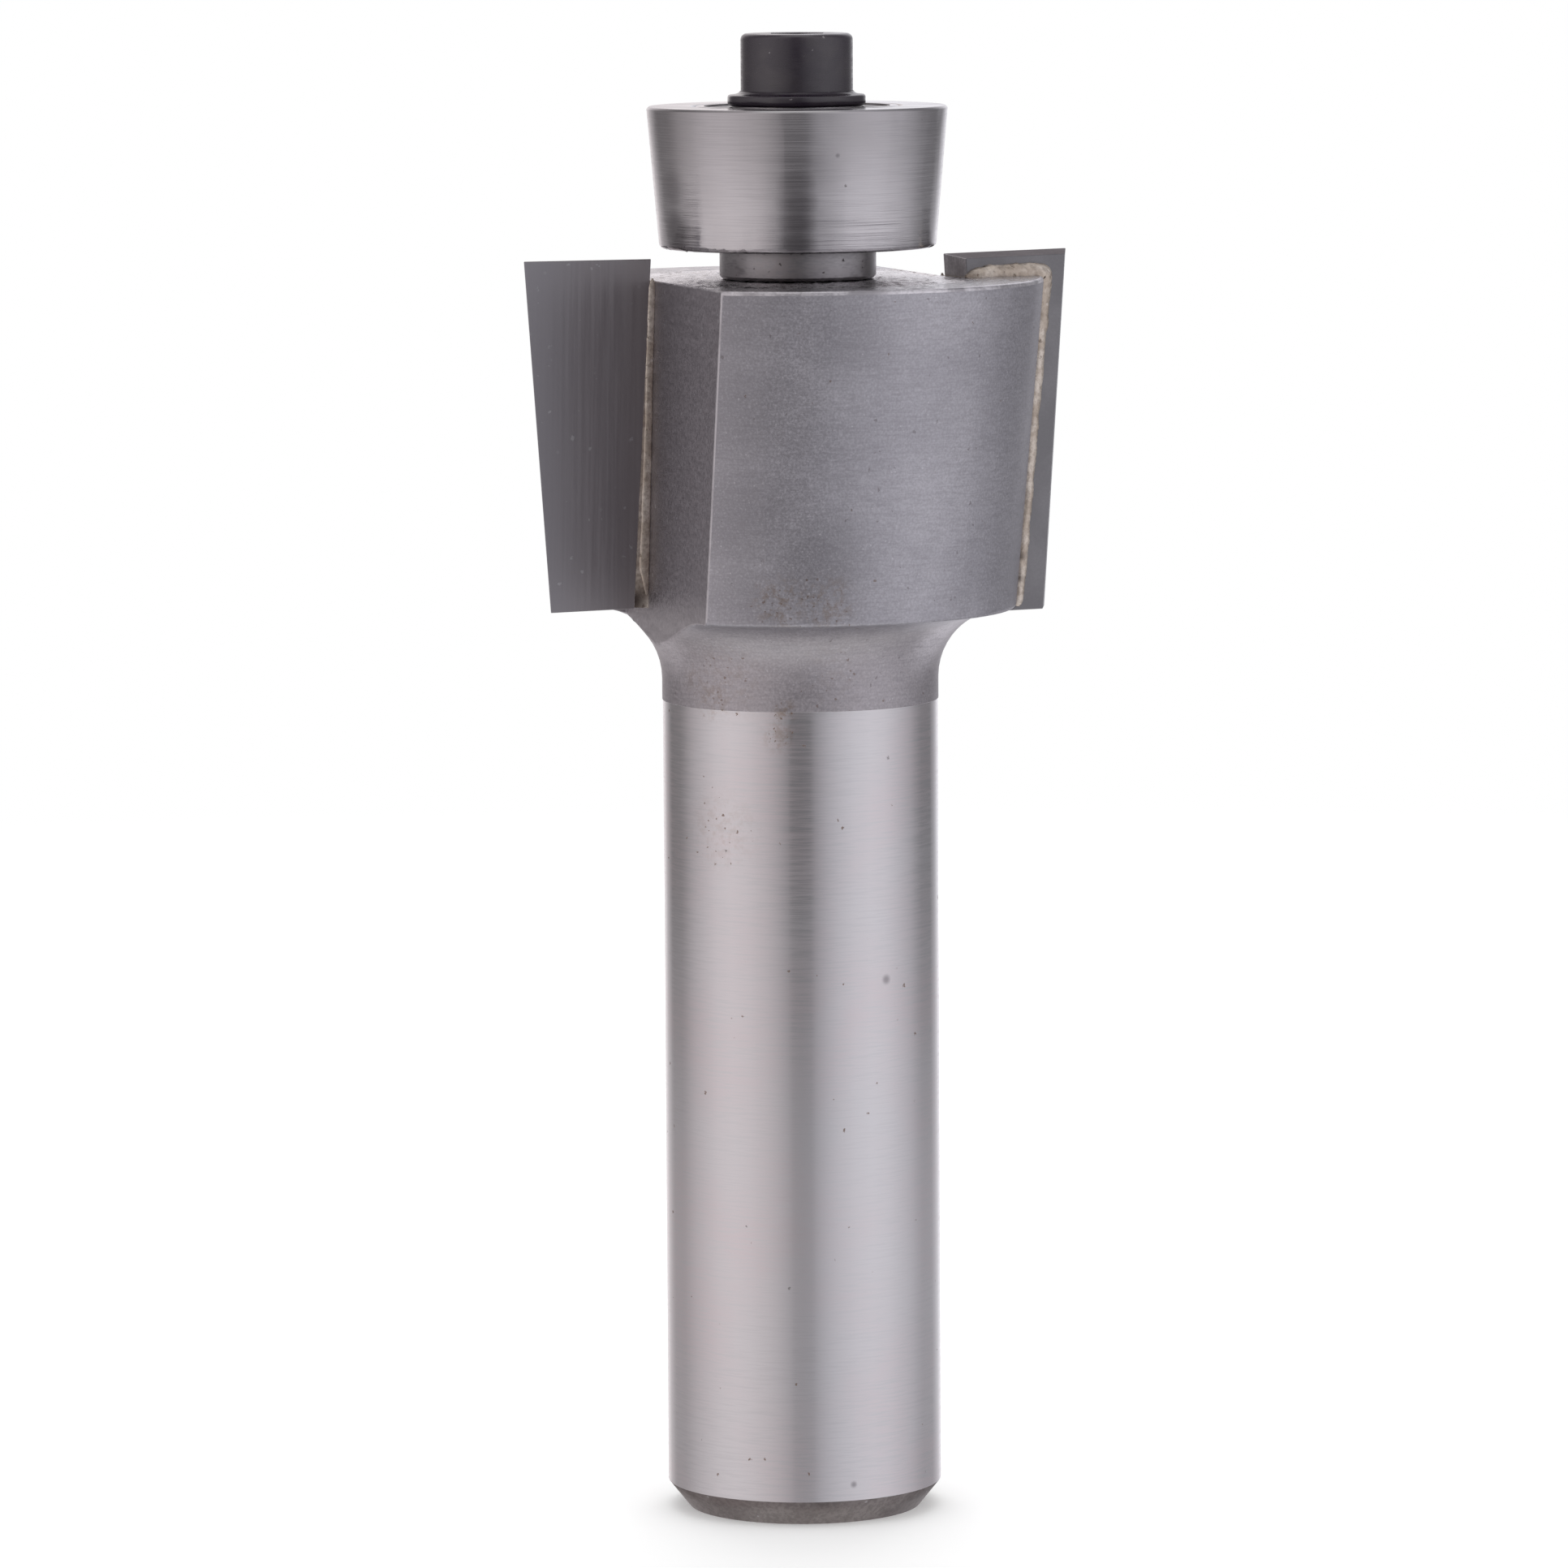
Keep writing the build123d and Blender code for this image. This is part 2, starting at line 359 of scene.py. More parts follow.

# Places of rust, marks and residue, of blotchy tone, and of painted dark reflections, painted highlights and
# painted shadow, in millimetres
RUST_PATCHES = (
    Patch((-3.5, -5.3, 37.75), 0.8),
    Patch((-3.72, -5.15, 36.6), 1.1, 0.6),
    Patch((-5.8, -2.7, 38.3), 1.5, 0.7),
    Patch((-6.2, -1.6, 39.0), 1.2, 0.5),
    Patch((-5.3, -8.5, 43.0), 1.8),
    Patch((-3.4, -9.2, 43.0), 1.9, 0.9),
    Patch((-5.6, -2.9, 32.2), 2.6, 0.3),
    Patch((-5.5, -3.4, 39.3), 2.8, 0.4),
    Patch((-1.5, -6.3, 39.4), 2.6, 0.2),
)
SHANK_MARKS = (
    Patch((1.15, -6.24, 25.25), 0.32, 0.7),
    Patch((-0.69, -6.31, 1.95), 0.22, 0.7),
)
# Painted dark reflection: a band of darker tone down the front of the guide, where its steel faces the dark
# stripe of the studio
GUIDE_DARK_REFLECTION_BAND = tuple(
    Patch((-2.97, -5.87, 59.0 + 0.9 * step), 1.4, strength)
    for step, strength in enumerate((1.0, 1.0, 0.92, 0.78, 0.5, 0.25))
)
# A small dull spot and dull patches on the guide, with the painted dark reflection down its front: the two
# wide patches there and the band
GUIDE_MARKS_AND_DARK_REFLECTION = (
    Patch((-1.32, -6.61, 62.96), 0.16, 0.7),
    Patch((-2.75, -6.05, 62.0), 2.3, 0.34),
    Patch((-2.65, -5.9, 59.8), 2.3, 0.40),
    Patch((-6.49, -0.4, 59.5), 1.5, 0.85),
    Patch((-6.58, -0.4, 61.3), 1.4, 0.5),
    *GUIDE_DARK_REFLECTION_BAND,
)
# Partly blotchy tone, partly painted dark reflection on the front of the head, where it faces the dark
# stripe of the studio
HEAD_BLOTCHES_AND_DARK_REFLECTION = (
    Patch((-7.8, -7.6, 56.2), 5.0),
    Patch((-7.5, -7.4, 51.8), 5.6),
    Patch((-7.2, -7.0, 47.0), 5.0),
    Patch((-6.9, -7.3, 43.6), 3.2, 0.8),
    Patch((-4.0, -9.4, 44.8), 3.4, 0.9),
    Patch((-3.0, -10.7, 55.2), 3.0, 0.5),
)
# Painted highlights on the neck, on its two sides where its steel faces the bright bands of the studio
NECK_PAINTED_HIGHLIGHTS = (
    Patch((4.0, -5.95, 40.7), 2.3, 0.9),
    Patch((-7.2, -0.1, 40.3), 2.3, 0.55),
)
# Painted shadow in the hollow notch at each tip's foot (the two wide patches), and dark spots of residue on
# the bead of tip 2
BRAZE_RESIDUE_AND_SHADE = (
    Patch((7.35, -2.8, 41.9), 1.4),
    Patch((-7.35, 2.8, 42.3), 1.4),
    Patch((9.1, -4.6, 44.2), 0.34, 0.7),
    Patch((9.0, -4.65, 43.2), 0.3, 0.6),
)


def near_patches(g: Graph, place: Socket, patches: tuple[Patch, ...]) -> Any:
    """Mask of some round places.

    Args:
        g: The graph that asks.
        place: Position in millimetres.
        patches: The places.

    Returns:
        The mask's socket, 1 at the middle of each place, or 0.0 where there are none.
    """
    gathered: Any = 0.0
    for patch in patches:
        apart = g.vector("DISTANCE", place, patch.centre)["Value"]
        near = g.span(apart, patch.radius, patch.radius * PATCH_CORE, to_high=patch.strength)
        gathered = g.math("MAXIMUM", gathered, near)
    return gathered


def tool_line_group() -> bpy.types.NodeTree:
    """Fine marks left by a tool or a wheel, round the axis.

    Returns:
        The group. Its lines run round the axis, and follow each other along it, or outwards from it
        where Radial is 1. Value is the tone and height of the lines that show, and Lean, round zero, the
        lean of the finest ones.
    """
    inputs = {"Vector": None, "Across": 8.0, "Around": 0.3, "Radial": 0.0}
    made = GroupBuilder("tool_lines", inputs, ["Value", "Lean"])
    g, given = made.graph, made.inputs
    fine_scale, finest_scale, coarse_share = (1.7, 1.7, 3.1), (0.8, 0.8, 12.0), 0.6
    x, y, z = g.split(given["Vector"])
    along = g.math("ADD", z, g.product(given["Radial"], g.math("SUBTRACT", g.length(x, y), z)))
    around, across = given["Around"], given["Across"]
    flat = g.joined(g.product(x, around), g.product(y, around), g.product(along, across))
    coarse = g.noise(flat, 1.0, detail=2.0, roughness=0.6)
    fine = g.noise(g.scaled(flat, fine_scale), 1.0, detail=1.0)
    made.put("Value", g.math("ADD", g.product(coarse, coarse_share), g.product(fine, 1.0 - coarse_share)))
    finest = g.noise(g.scaled(flat, finest_scale), 1.0, detail=1.0)
    made.put("Lean", g.math("SUBTRACT", finest, 0.5))
    return made.tree


def grain_group() -> bpy.types.NodeTree:
    """Grain of a blasted surface.

    Returns:
        The group. Value is the grain, and Glints are rare bright points.
    """
    made = GroupBuilder("grain", {"Vector": None, "Size": 0.12}, ["Value", "Glints"])
    g, given = made.graph, made.inputs
    glint_scale, dark_share, outline = 0.6, 0.955, (0.28, 0.14)
    scale = g.math("DIVIDE", 1.0, given["Size"])
    made.put("Value", g.noise(given["Vector"], scale, detail=3.0, roughness=0.65))
    cells = g.node("TexVoronoi")
    g.feed(cells.inputs["Vector"], given["Vector"])
    g.feed(cells.inputs["Scale"], g.product(scale, glint_scale))
    chosen = g.math("GREATER_THAN", g.split(cells.outputs["Color"])[0], dark_share)
    made.put("Glints", g.product(chosen, g.span(cells.outputs["Distance"], *outline)))
    return made.tree


def speck_group() -> bpy.types.NodeTree:
    """Scattered specks of uneven outline.

    Returns:
        The group. Amount is the share of the cells that hold a speck.
    """
    made = GroupBuilder("specks", {"Vector": None, "Size": 0.3, "Amount": 0.1}, ["Mask"])
    g, given = made.graph, made.inputs
    wobble_scale, least_reach, more_reach, outline = 2.2, 0.10, 0.22, (1.25, 0.75)
    scale = g.math("DIVIDE", 1.0, given["Size"])
    wobble = g.node("TexNoise")
    g.feed(wobble.inputs["Vector"], given["Vector"])
    g.feed(wobble.inputs["Scale"], g.product(scale, wobble_scale))
    sizes = g.joined(given["Size"], given["Size"], given["Size"])
    shifted = g.vector("MULTIPLY_ADD", wobble.outputs["Color"], sizes, given["Vector"])
    cells = g.node("TexVoronoi")
    g.feed(cells.inputs["Vector"], shifted[0])
    g.feed(cells.inputs["Scale"], scale)
    shade, size, _ = g.split(cells.outputs["Color"])
    chosen = g.math("LESS_THAN", shade, given["Amount"])
    reach = g.math("ADD", g.product(size, more_reach), least_reach)
    near = g.span(g.math("DIVIDE", cells.outputs["Distance"], reach), *outline)
    made.put("Mask", g.product(chosen, near))
    return made.tree


def blotch_group() -> bpy.types.NodeTree:
    """Slow change of tone over a surface.

    Returns:
        The group. Value lies round 0.5.
    """
    made = GroupBuilder("blotches", {"Vector": None, "Size": 6.0}, ["Value"])
    g, given = made.graph, made.inputs
    scale = g.math("DIVIDE", 1.0, given["Size"])
    made.put("Value", g.noise(given["Vector"], scale, detail=3.0, roughness=0.55, distortion=0.3))
    return made.tree


def rust_group(specks: bpy.types.NodeTree) -> bpy.types.NodeTree:
    """Rust that gathers in patches on the cutter body.

    Args:
        specks: The group of scattered specks.

    Returns:
        The group. Stain is a thin brown film, Specks are dark points.
    """
    made = GroupBuilder("rust", {"Vector": None, "Amount": 1.0}, ["Stain", "Specks"])
    g, place, amount = made.graph, made.inputs["Vector"], made.inputs["Amount"]
    ragged_band, dot_share, stray_share, stray_stretch = (0.44, 0.62), 0.6, 0.008, (1.1, 0.9, 1.05)
    gathered = near_patches(g, place, RUST_PATCHES)
    ragged = g.span(g.noise(place, 2.6, detail=5.0, roughness=0.75), *ragged_band)
    made.put("Stain", g.product(g.product(gathered, ragged), amount))
    dots = g.use(specks, Vector=place, Size=0.21, Amount=g.product(g.product(gathered, dot_share), amount))
    stretched = g.scaled(place, stray_stretch)
    strays = g.use(specks, Vector=stretched, Size=0.26, Amount=g.product(amount, stray_share))
    made.put("Specks", g.math("MAXIMUM", dots.outputs["Mask"], strays.outputs["Mask"]))
    return made.tree


def shared_effects() -> Effects:
    """Build every shared group once.

    Returns:
        The groups.
    """
    specks = speck_group()
    return Effects(tool_line_group(), grain_group(), specks, blotch_group(), rust_group(specks))


# Finishes


@dataclass(frozen=True)
class Layer:
    """A tone laid over another one: its colour, its share, and the pattern's values it comes in between."""

    colour: Colour
    share: float = 1.0
    band: Band | None = None


@dataclass(frozen=True)
class Finish:
    """Plain values of a finish. Each kind of finish lays its own patterns.

    The roughness falls by smoother and rises by rougher as a pattern passes through rough_band. The depth of
    the relief is in millimetres, and glancing is the share of the glancing reflection that is left.
    """

    name: str
    base: Colour
    roughness: float
    smoother: float = 0.05
    rougher: float = 0.08
    rough_band: Band = (0.3, 0.7)
    depth: float = 0.004
    metallic: float = 1.0
    specular: float = 0.5
    glancing: float = 1.0

    def build(self, effects: Effects) -> bpy.types.Material:
        """Make the material.

        Args:
            effects: The shared groups.

        Returns:
            The material.
        """
        surface = Surface(self, effects)
        self.paint(surface)
        surface.graph.feed(surface.shader.inputs["Base Color"], surface.tone)
        return surface.material

    def paint(self, s: "Surface") -> None:
        """Lay the patterns on a surface."""
        raise NotImplementedError


class Surface:
    """A material in the making, whose nodes read Object coordinates in millimetres."""

    def __init__(self, finish: Finish, effects: Effects) -> None:
        """Make the material with its shader.

        Args:
            finish: The finish that it shows.
            effects: The shared groups.
        """
        self.finish, self.effects = finish, effects
        self.material = bpy.data.materials.new(finish.name)
        self.graph = g = emptied(self.material)
        self.shader = g.node("BsdfPrincipled")
        self.shader.inputs["Metallic"].default_value = finish.metallic
        self.shader.inputs["Specular IOR Level"].default_value = finish.specular
        self.shader.inputs["Specular Tint"].default_value = (*(finish.glancing,) * 3, 1.0)
        g.feed(g.node("OutputMaterial").inputs["Surface"], self.shader.outputs["BSDF"])
        self.place = g.scaled(g.node("TexCoord").outputs["Object"], (1 / MM, 1 / MM, 1 / MM))
        self.tone: Any = finish.base

    def lay(self, group: bpy.types.NodeTree, **inputs: Any) -> Any:
        """Place a shared effect on the surface.

        Args:
            group: The effect's group.
            **inputs: Its values, by name.

        Returns:
            The effect's outputs, by name.
        """
        return self.graph.use(group, Vector=self.place, **inputs).outputs

    def tint(self, pattern: Any, layer: Layer) -> None:
        """Lay a tone over the surface's own.

        Args:
            pattern: Socket of the pattern that it follows.
            layer: The tone.
        """
        mask = pattern if layer.band is None else self.graph.span(pattern, *layer.band)
        if layer.share != 1.0:
            mask = self.graph.product(mask, layer.share)
        self.tone = self.graph.mix(mask, self.tone, layer.colour)

    def tint_places(self, places: tuple[Patch, ...], layer: Layer) -> None:
        """Lay a tone over some round places."""
        self.tint(near_patches(self.graph, self.place, places), layer)

    def roughen(self, pattern: Socket, more: Any = None) -> None:
        """Let the roughness follow a pattern.

        Args:
            pattern: The pattern's socket.
            more: Roughness that is added, if there is any.
        """
        f = self.finish
        rough = self.graph.span(pattern, *f.rough_band, f.roughness - f.smoother, f.roughness + f.rougher)
        if more is not None:
            rough = self.graph.math("ADD", rough, more)
        self.graph.feed(self.shader.inputs["Roughness"], rough)

    def relieve(self, height: Socket, lean: Socket | None = None) -> None:
        """Raise the surface where a height is large, by the finish's depth in millimetres.

        Args:
            height: Height between 0 and 1.
            lean: How far the normal leans up or down, where fine lines run round the axis.
        """
        g = self.graph
        bump = g.node("Bump")
        if lean is not None:
            normal = g.node("NewGeometry").outputs["Normal"]
            leaning = g.vector("ADD", normal, g.joined(0.0, 0.0, lean))
            g.feed(bump.inputs["Normal"], g.vector("NORMALIZE", leaning[0])[0])
        bump.inputs["Strength"].default_value = 1.0
        bump.inputs["Distance"].default_value = self.finish.depth * MM
        g.feed(bump.inputs["Height"], height)
        g.feed(self.shader.inputs["Normal"], bump.outputs["Normal"])


@dataclass(frozen=True)
class GroundSteel(Finish):
    """Steel ground to size, with fine marks round the axis."""

    rougher: float = 0.06
    rough_band: Band = (0.35, 0.65)
    across: float = 9.0
    around: float = 0.5
    line_tone: float = 0.07
    line_band: Band = (0.56, 0.36)
    line_lean: float = 0.0
    rust: float = 0.0
    pits: float = 0.01
    pit_size: float = 0.3
    hollow_roughness: float = 0.3
    hollow_depth: float = 4.0
    warm: Layer = Layer((0.61, 0.565, 0.58), band=WARM_BAND)
    pitted: Layer = Layer((0.12, 0.105, 0.10), 0.55)
    stained: Layer = Layer((0.33, 0.235, 0.165), 0.6)
    rusted: Layer = Layer((0.19, 0.115, 0.075), 0.75)
    # Darker towards the top, over a band of heights; only the guide has a share of it
    darker_upwards: Layer = Layer(DULL_AND_DARK_REFLECTION_TONE, 0.0, (0.0, 1.0))
    # Tone of dull marks; on the guide it also lays the painted dark reflection
    mark_and_dark_reflection_tone: Layer = Layer(DULL_AND_DARK_REFLECTION_TONE, 0.85)
    marks: tuple[Patch, ...] = ()

    def paint(self, s: Surface) -> None:
        """Lay the patterns.

        Args:
            s: The surface.
        """
        g, e = s.graph, s.effects
        tooled = s.lay(e.tool_lines, Across=self.across, Around=self.around)
        darker = tuple(part * (1 - self.line_tone) for part in self.base)
        s.tint(s.lay(e.blotches, Size=7.0)["Value"], self.warm)
        s.tint(tooled["Value"], Layer(darker, band=self.line_band))
        pits = s.lay(e.specks, Size=self.pit_size, Amount=self.pits)["Mask"]
        s.tint(pits, self.pitted)
        rust = s.lay(e.rust, Amount=self.rust)
        s.tint(rust["Stain"], self.stained)
        s.tint(rust["Specks"], self.rusted)
        s.tint(g.split(s.place)[2], self.darker_upwards)
        # Dull marks, and on the guide a painted dark reflection down its front
        s.tint_places(self.marks, self.mark_and_dark_reflection_tone)
        hollows = g.math("MAXIMUM", pits, rust["Specks"])
        s.roughen(tooled["Value"], g.product(hollows, self.hollow_roughness))
        height = g.math("SUBTRACT", tooled["Value"], g.product(hollows, self.hollow_depth))
        s.relieve(height, g.product(tooled["Lean"], self.line_lean))


@dataclass(frozen=True)
class BlastedSteel(Finish):
    """Turned and then blasted steel of the head and the neck."""

    name: str = "blasted_head"
    base: Colour = (0.41, 0.402, 0.435)
    roughness: float = 0.44
    depth: float = 0.005
    groove_share: float = 0.7
    light: Layer = Layer((0.472, 0.463, 0.497), band=SLOW_BAND)
    # Partly blotchy tone, partly painted dark reflection on the front of the head
    dull_and_dark_reflection: Layer = Layer((0.285, 0.278, 0.30), 0.8)
    neck: Layer = Layer((0.435, 0.41, 0.43), band=(42.0, 41.0))
    # Painted highlight on the neck
    bright: Layer = Layer((0.76, 0.73, 0.765))
    hollows: Layer = Layer((0.19, 0.18, 0.19), 0.32, (0.60, 0.36))
    crests: Layer = Layer((0.62, 0.61, 0.64), 0.32, (0.55, 0.72))
    grooves: Layer = Layer((0.22, 0.21, 0.23), 0.22, (0.55, 0.38))
    glints: Layer = Layer((0.68, 0.67, 0.70), 0.4)
    pitted: Layer = Layer((0.14, 0.12, 0.12), 0.45)
    stained: Layer = Layer((0.245, 0.19, 0.15), 0.6)
    rusted: Layer = Layer((0.16, 0.108, 0.078), 0.6)

    def paint(self, s: Surface) -> None:
        """Lay the patterns.

        Args:
            s: The surface.
        """
        g, e = s.graph, s.effects
        grain = s.lay(e.grain, Size=0.105)
        lines = s.lay(e.tool_lines, Across=7.5, Around=0.8)["Value"]
        s.tint(s.lay(e.blotches, Size=5.0)["Value"], self.light)
        # Blotchy tone with a painted dark reflection on the front of the head
        s.tint_places(HEAD_BLOTCHES_AND_DARK_REFLECTION, self.dull_and_dark_reflection)
        s.tint(g.split(s.place)[2], self.neck)
        # Painted highlights on the neck
        s.tint_places(NECK_PAINTED_HIGHLIGHTS, self.bright)
        s.tint(grain["Value"], self.hollows)
        s.tint(grain["Value"], self.crests)
        s.tint(lines, self.grooves)
        s.tint(grain["Glints"], self.glints)
        pits = s.lay(e.specks, Size=0.24, Amount=0.04)["Mask"]
        s.tint(pits, self.pitted)
        rust = s.lay(e.rust, Amount=1.0)
        s.tint(rust["Stain"], self.stained)
        s.tint(rust["Specks"], self.rusted)
        s.roughen(grain["Value"])
        relief = g.math("ADD", grain["Value"], g.product(lines, self.groove_share))
        s.relieve(g.math("SUBTRACT", relief, pits))


@dataclass(frozen=True)
class MilledSteel(Finish):
    """Milled walls of the gullets, darker than the turned steel, with painted light on them below the tips.
    """

    name: str = "milled_gullet"
    base: Colour = (0.385, 0.364, 0.388)
    roughness: float = 0.5
    smoother: float = 0.06
    rougher: float = 0.1
    depth: float = 0.005
    mark_stretch: Point = (0.8, 0.8, 3.4)
    mark_share: float = 0.6
    # Painted light: the walls lighter below the tips, where the tips no longer shade them
    run_out: Layer = Layer((0.52, 0.496, 0.515), band=(43.6, 41.4))
    cutter_marks: Layer = Layer((0.24, 0.222, 0.238), 0.18, (0.58, 0.4))
    hollows: Layer = Layer((0.23, 0.214, 0.229), 0.22, (0.6, 0.4))
    glints: Layer = Layer((0.55, 0.54, 0.58), 0.55)
    flecks: Layer = Layer((0.6, 0.6, 0.63), 0.5)

    def paint(self, s: Surface) -> None:
        """Lay the patterns.

        Args:
            s: The surface.
        """
        g, e = s.graph, s.effects
        grain = s.lay(e.grain, Size=0.16)
        marks = g.noise(g.scaled(s.place, self.mark_stretch), 1.0, detail=3.0, roughness=0.6)
        # Painted light below the tips
        s.tint(g.split(s.place)[2], self.run_out)
        s.tint(marks, self.cutter_marks)
        s.tint(grain["Value"], self.hollows)
        s.tint(grain["Glints"], self.glints)
        s.tint(s.lay(e.specks, Size=0.3, Amount=0.09)["Mask"], self.flecks)
        s.roughen(grain["Value"])
        s.relieve(g.math("ADD", grain["Value"], g.product(marks, self.mark_share)))


@dataclass(frozen=True)
class FacedSteel(Finish):
    """Top of the head, faced on the lathe: torn inside, and smooth in a ring along the rim."""

    name: str = "faced_top"
    base: Colour = (0.46, 0.44, 0.45)
    roughness: float = 0.24
    smoother: float = 0.06
    rougher: float = 0.14
    rough_band: Band = (0.35, 0.65)
    depth: float = 0.018
    smooth: Colour = (0.40, 0.39, 0.41)
    smooth_band: Band = (9.0, 8.6)
    waviness: float = 0.6
    pit_depth: float = 0.8
    ring_relief: Band = (0.2, 0.8)
    torn_relief: Band = (0.12, 1.0)
    # Partly torn texture, partly painted reflection: the torn places lightened almost to white for the
    # bright sky they catch
    torn: Layer = Layer((0.96, 0.94, 0.96), band=(0.38, 0.60))
    rings: Layer = Layer((0.42, 0.405, 0.415), 0.3, (0.55, 0.4))
    pitted: Layer = Layer((0.06, 0.052, 0.055), 0.75)

    def paint(self, s: Surface) -> None:
        """Lay the patterns.

        Args:
            s: The surface.
        """
        g, e = s.graph, s.effects
        rings = s.lay(e.tool_lines, Across=3.2, Around=0.5, Radial=1.0)["Value"]
        torn = g.noise(s.place, 2.6, detail=5.0, roughness=0.72, distortion=0.6)
        pits = s.lay(e.specks, Size=0.42, Amount=0.12)["Mask"]
        x, y, _ = g.split(s.place)
        wavy = g.math("ADD", g.length(x, y), g.product(torn, self.waviness))
        inside = g.span(wavy, *self.smooth_band)
        # Torn places, with a painted bright reflection
        s.tint(torn, self.torn)
        s.tint(rings, self.rings)
        s.tint(pits, self.pitted)
        s.tone = g.mix(inside, self.smooth, s.tone)
        s.roughen(torn)
        rough = g.math("SUBTRACT", torn, g.product(pits, self.pit_depth))
        rough = g.product(rough, g.span(inside, 0.0, 1.0, *self.torn_relief))
        turned = g.product(rings, g.span(inside, 0.0, 1.0, *self.ring_relief))
        s.relieve(g.math("ADD", turned, rough))


@dataclass(frozen=True)
class ScaledSteel(Finish):
    """Unground foot of the shank, with brownish scale."""

    name: str = "scaled_foot"
    base: Colour = (0.170, 0.147, 0.143)
    roughness: float = 0.5
    smoother: float = 0.08
    depth: float = 0.006
    metallic: float = 0.85
    light: Layer = Layer((0.248, 0.222, 0.216), band=SLOW_BAND)
    hollows: Layer = Layer((0.07, 0.06, 0.057), 0.3, (0.58, 0.4))
    glints: Layer = Layer((0.4, 0.385, 0.39), 0.6)

    def paint(self, s: Surface) -> None:
        """Lay the patterns.

        Args:
            s: The surface.
        """
        slow = s.lay(s.effects.blotches, Size=1.6)["Value"]
        grain = s.lay(s.effects.grain, Size=0.2)
        s.tint(slow, self.light)
        s.tint(grain["Value"], self.hollows)
        s.tint(grain["Glints"], self.glints)
        s.roughen(slow)
        s.relieve(grain["Value"])


@dataclass(frozen=True)
class WornAndHighlightedEdge(Finish):
    """Broken edges of the head: bright in places along the rim, partly worn and partly a painted highlight
    that is strongest at the top rim, and duller elsewhere.
    """

    name: str = "worn_and_highlighted_edge"
    base: Colour = (0.38, 0.366, 0.385)
    roughness: float = 0.38
    smoother: float = 0.08
    rougher: float = 0.1
    depth: float = 0.008
    # Partly worn bright, partly a painted highlight along the top rim
    rubbed_and_highlighted: Layer = Layer((0.72, 0.70, 0.725))
    rubbed_band: Band = (0.3, 0.55)
    rim: Band = (56.4, 57.0)
    below_rim: float = 0.3
    hollows: Layer = Layer((0.38, 0.366, 0.385), 0.45, (0.56, 0.38))

    def paint(self, s: Surface) -> None:
        """Lay the patterns.

        Args:
            s: The surface.
        """
        g, e = s.graph, s.effects
        slow = s.lay(e.blotches, Size=1.3)["Value"]
        grain = s.lay(e.grain, Size=0.18)["Value"]
        at_rim = g.span(g.split(s.place)[2], *self.rim, self.below_rim, 1.0)
        # Painted highlight along the top rim, mixed with worn places
        s.tint(g.product(g.span(slow, *self.rubbed_band), at_rim), self.rubbed_and_highlighted)
        s.tint(grain, self.hollows)
        s.roughen(grain)
        s.relieve(grain)


@dataclass(frozen=True)
class GroundCarbide(Finish):
    """Carbide ground along the cutting face."""

    name: str = "carbide_ground"
    base: Colour = (0.276, 0.262, 0.272)
    roughness: float = 0.46
    depth: float = 0.002
    streak_stretch: Band = (5.0, 0.10)
    light: Layer = Layer((0.318, 0.303, 0.315), band=(0.36, 0.66))
    bluish: Layer = Layer((0.275, 0.275, 0.297), 0.5, (9.2, 12.6))
    brownish: Layer = Layer((0.305, 0.280, 0.280), 0.5, (9.0, 7.2))
    dust: Layer = Layer((0.5, 0.5, 0.52), 0.16)
    flecks: Layer = Layer((0.5, 0.5, 0.52), 0.5)

    def paint(self, s: Surface) -> None:
        """Lay the patterns.

        Args:
            s: The surface.
        """
        g, e = s.graph, s.effects
        x, _, z = g.split(s.place)
        across, along = self.streak_stretch
        stretched = g.joined(g.product(x, across), 0.0, g.product(z, along))
        streaks = g.noise(stretched, 1.0, detail=4.0, roughness=0.65)
        outwards = g.math("ABSOLUTE", x)
        s.tint(streaks, self.light)
        s.tint(outwards, self.bluish)
        s.tint(outwards, self.brownish)
        s.tint(s.lay(e.grain, Size=0.22)["Glints"], self.dust)
        s.tint(s.lay(e.specks, Size=0.3, Amount=0.035)["Mask"], self.flecks)
        s.roughen(streaks)
        s.relieve(streaks)


@dataclass(frozen=True)
class SinteredCarbide(Finish):
    """Carbide as it left the furnace, on the back, the end and the root of a tip."""

    name: str = "carbide_sintered"
    base: Colour = (0.205, 0.202, 0.210)
    roughness: float = 0.46
    light: Layer = Layer((0.24, 0.236, 0.245), band=SLOW_BAND)
    hollows: Layer = Layer((0.12, 0.115, 0.122), 0.25, (0.6, 0.4))

    def paint(self, s: Surface) -> None:
        """Lay the patterns.

        Args:
            s: The surface.
        """
        grain = s.lay(s.effects.grain, Size=0.14)["Value"]
        s.tint(s.lay(s.effects.blotches, Size=2.4)["Value"], self.light)
        s.tint(grain, self.hollows)
        s.roughen(grain)
        s.relieve(grain)


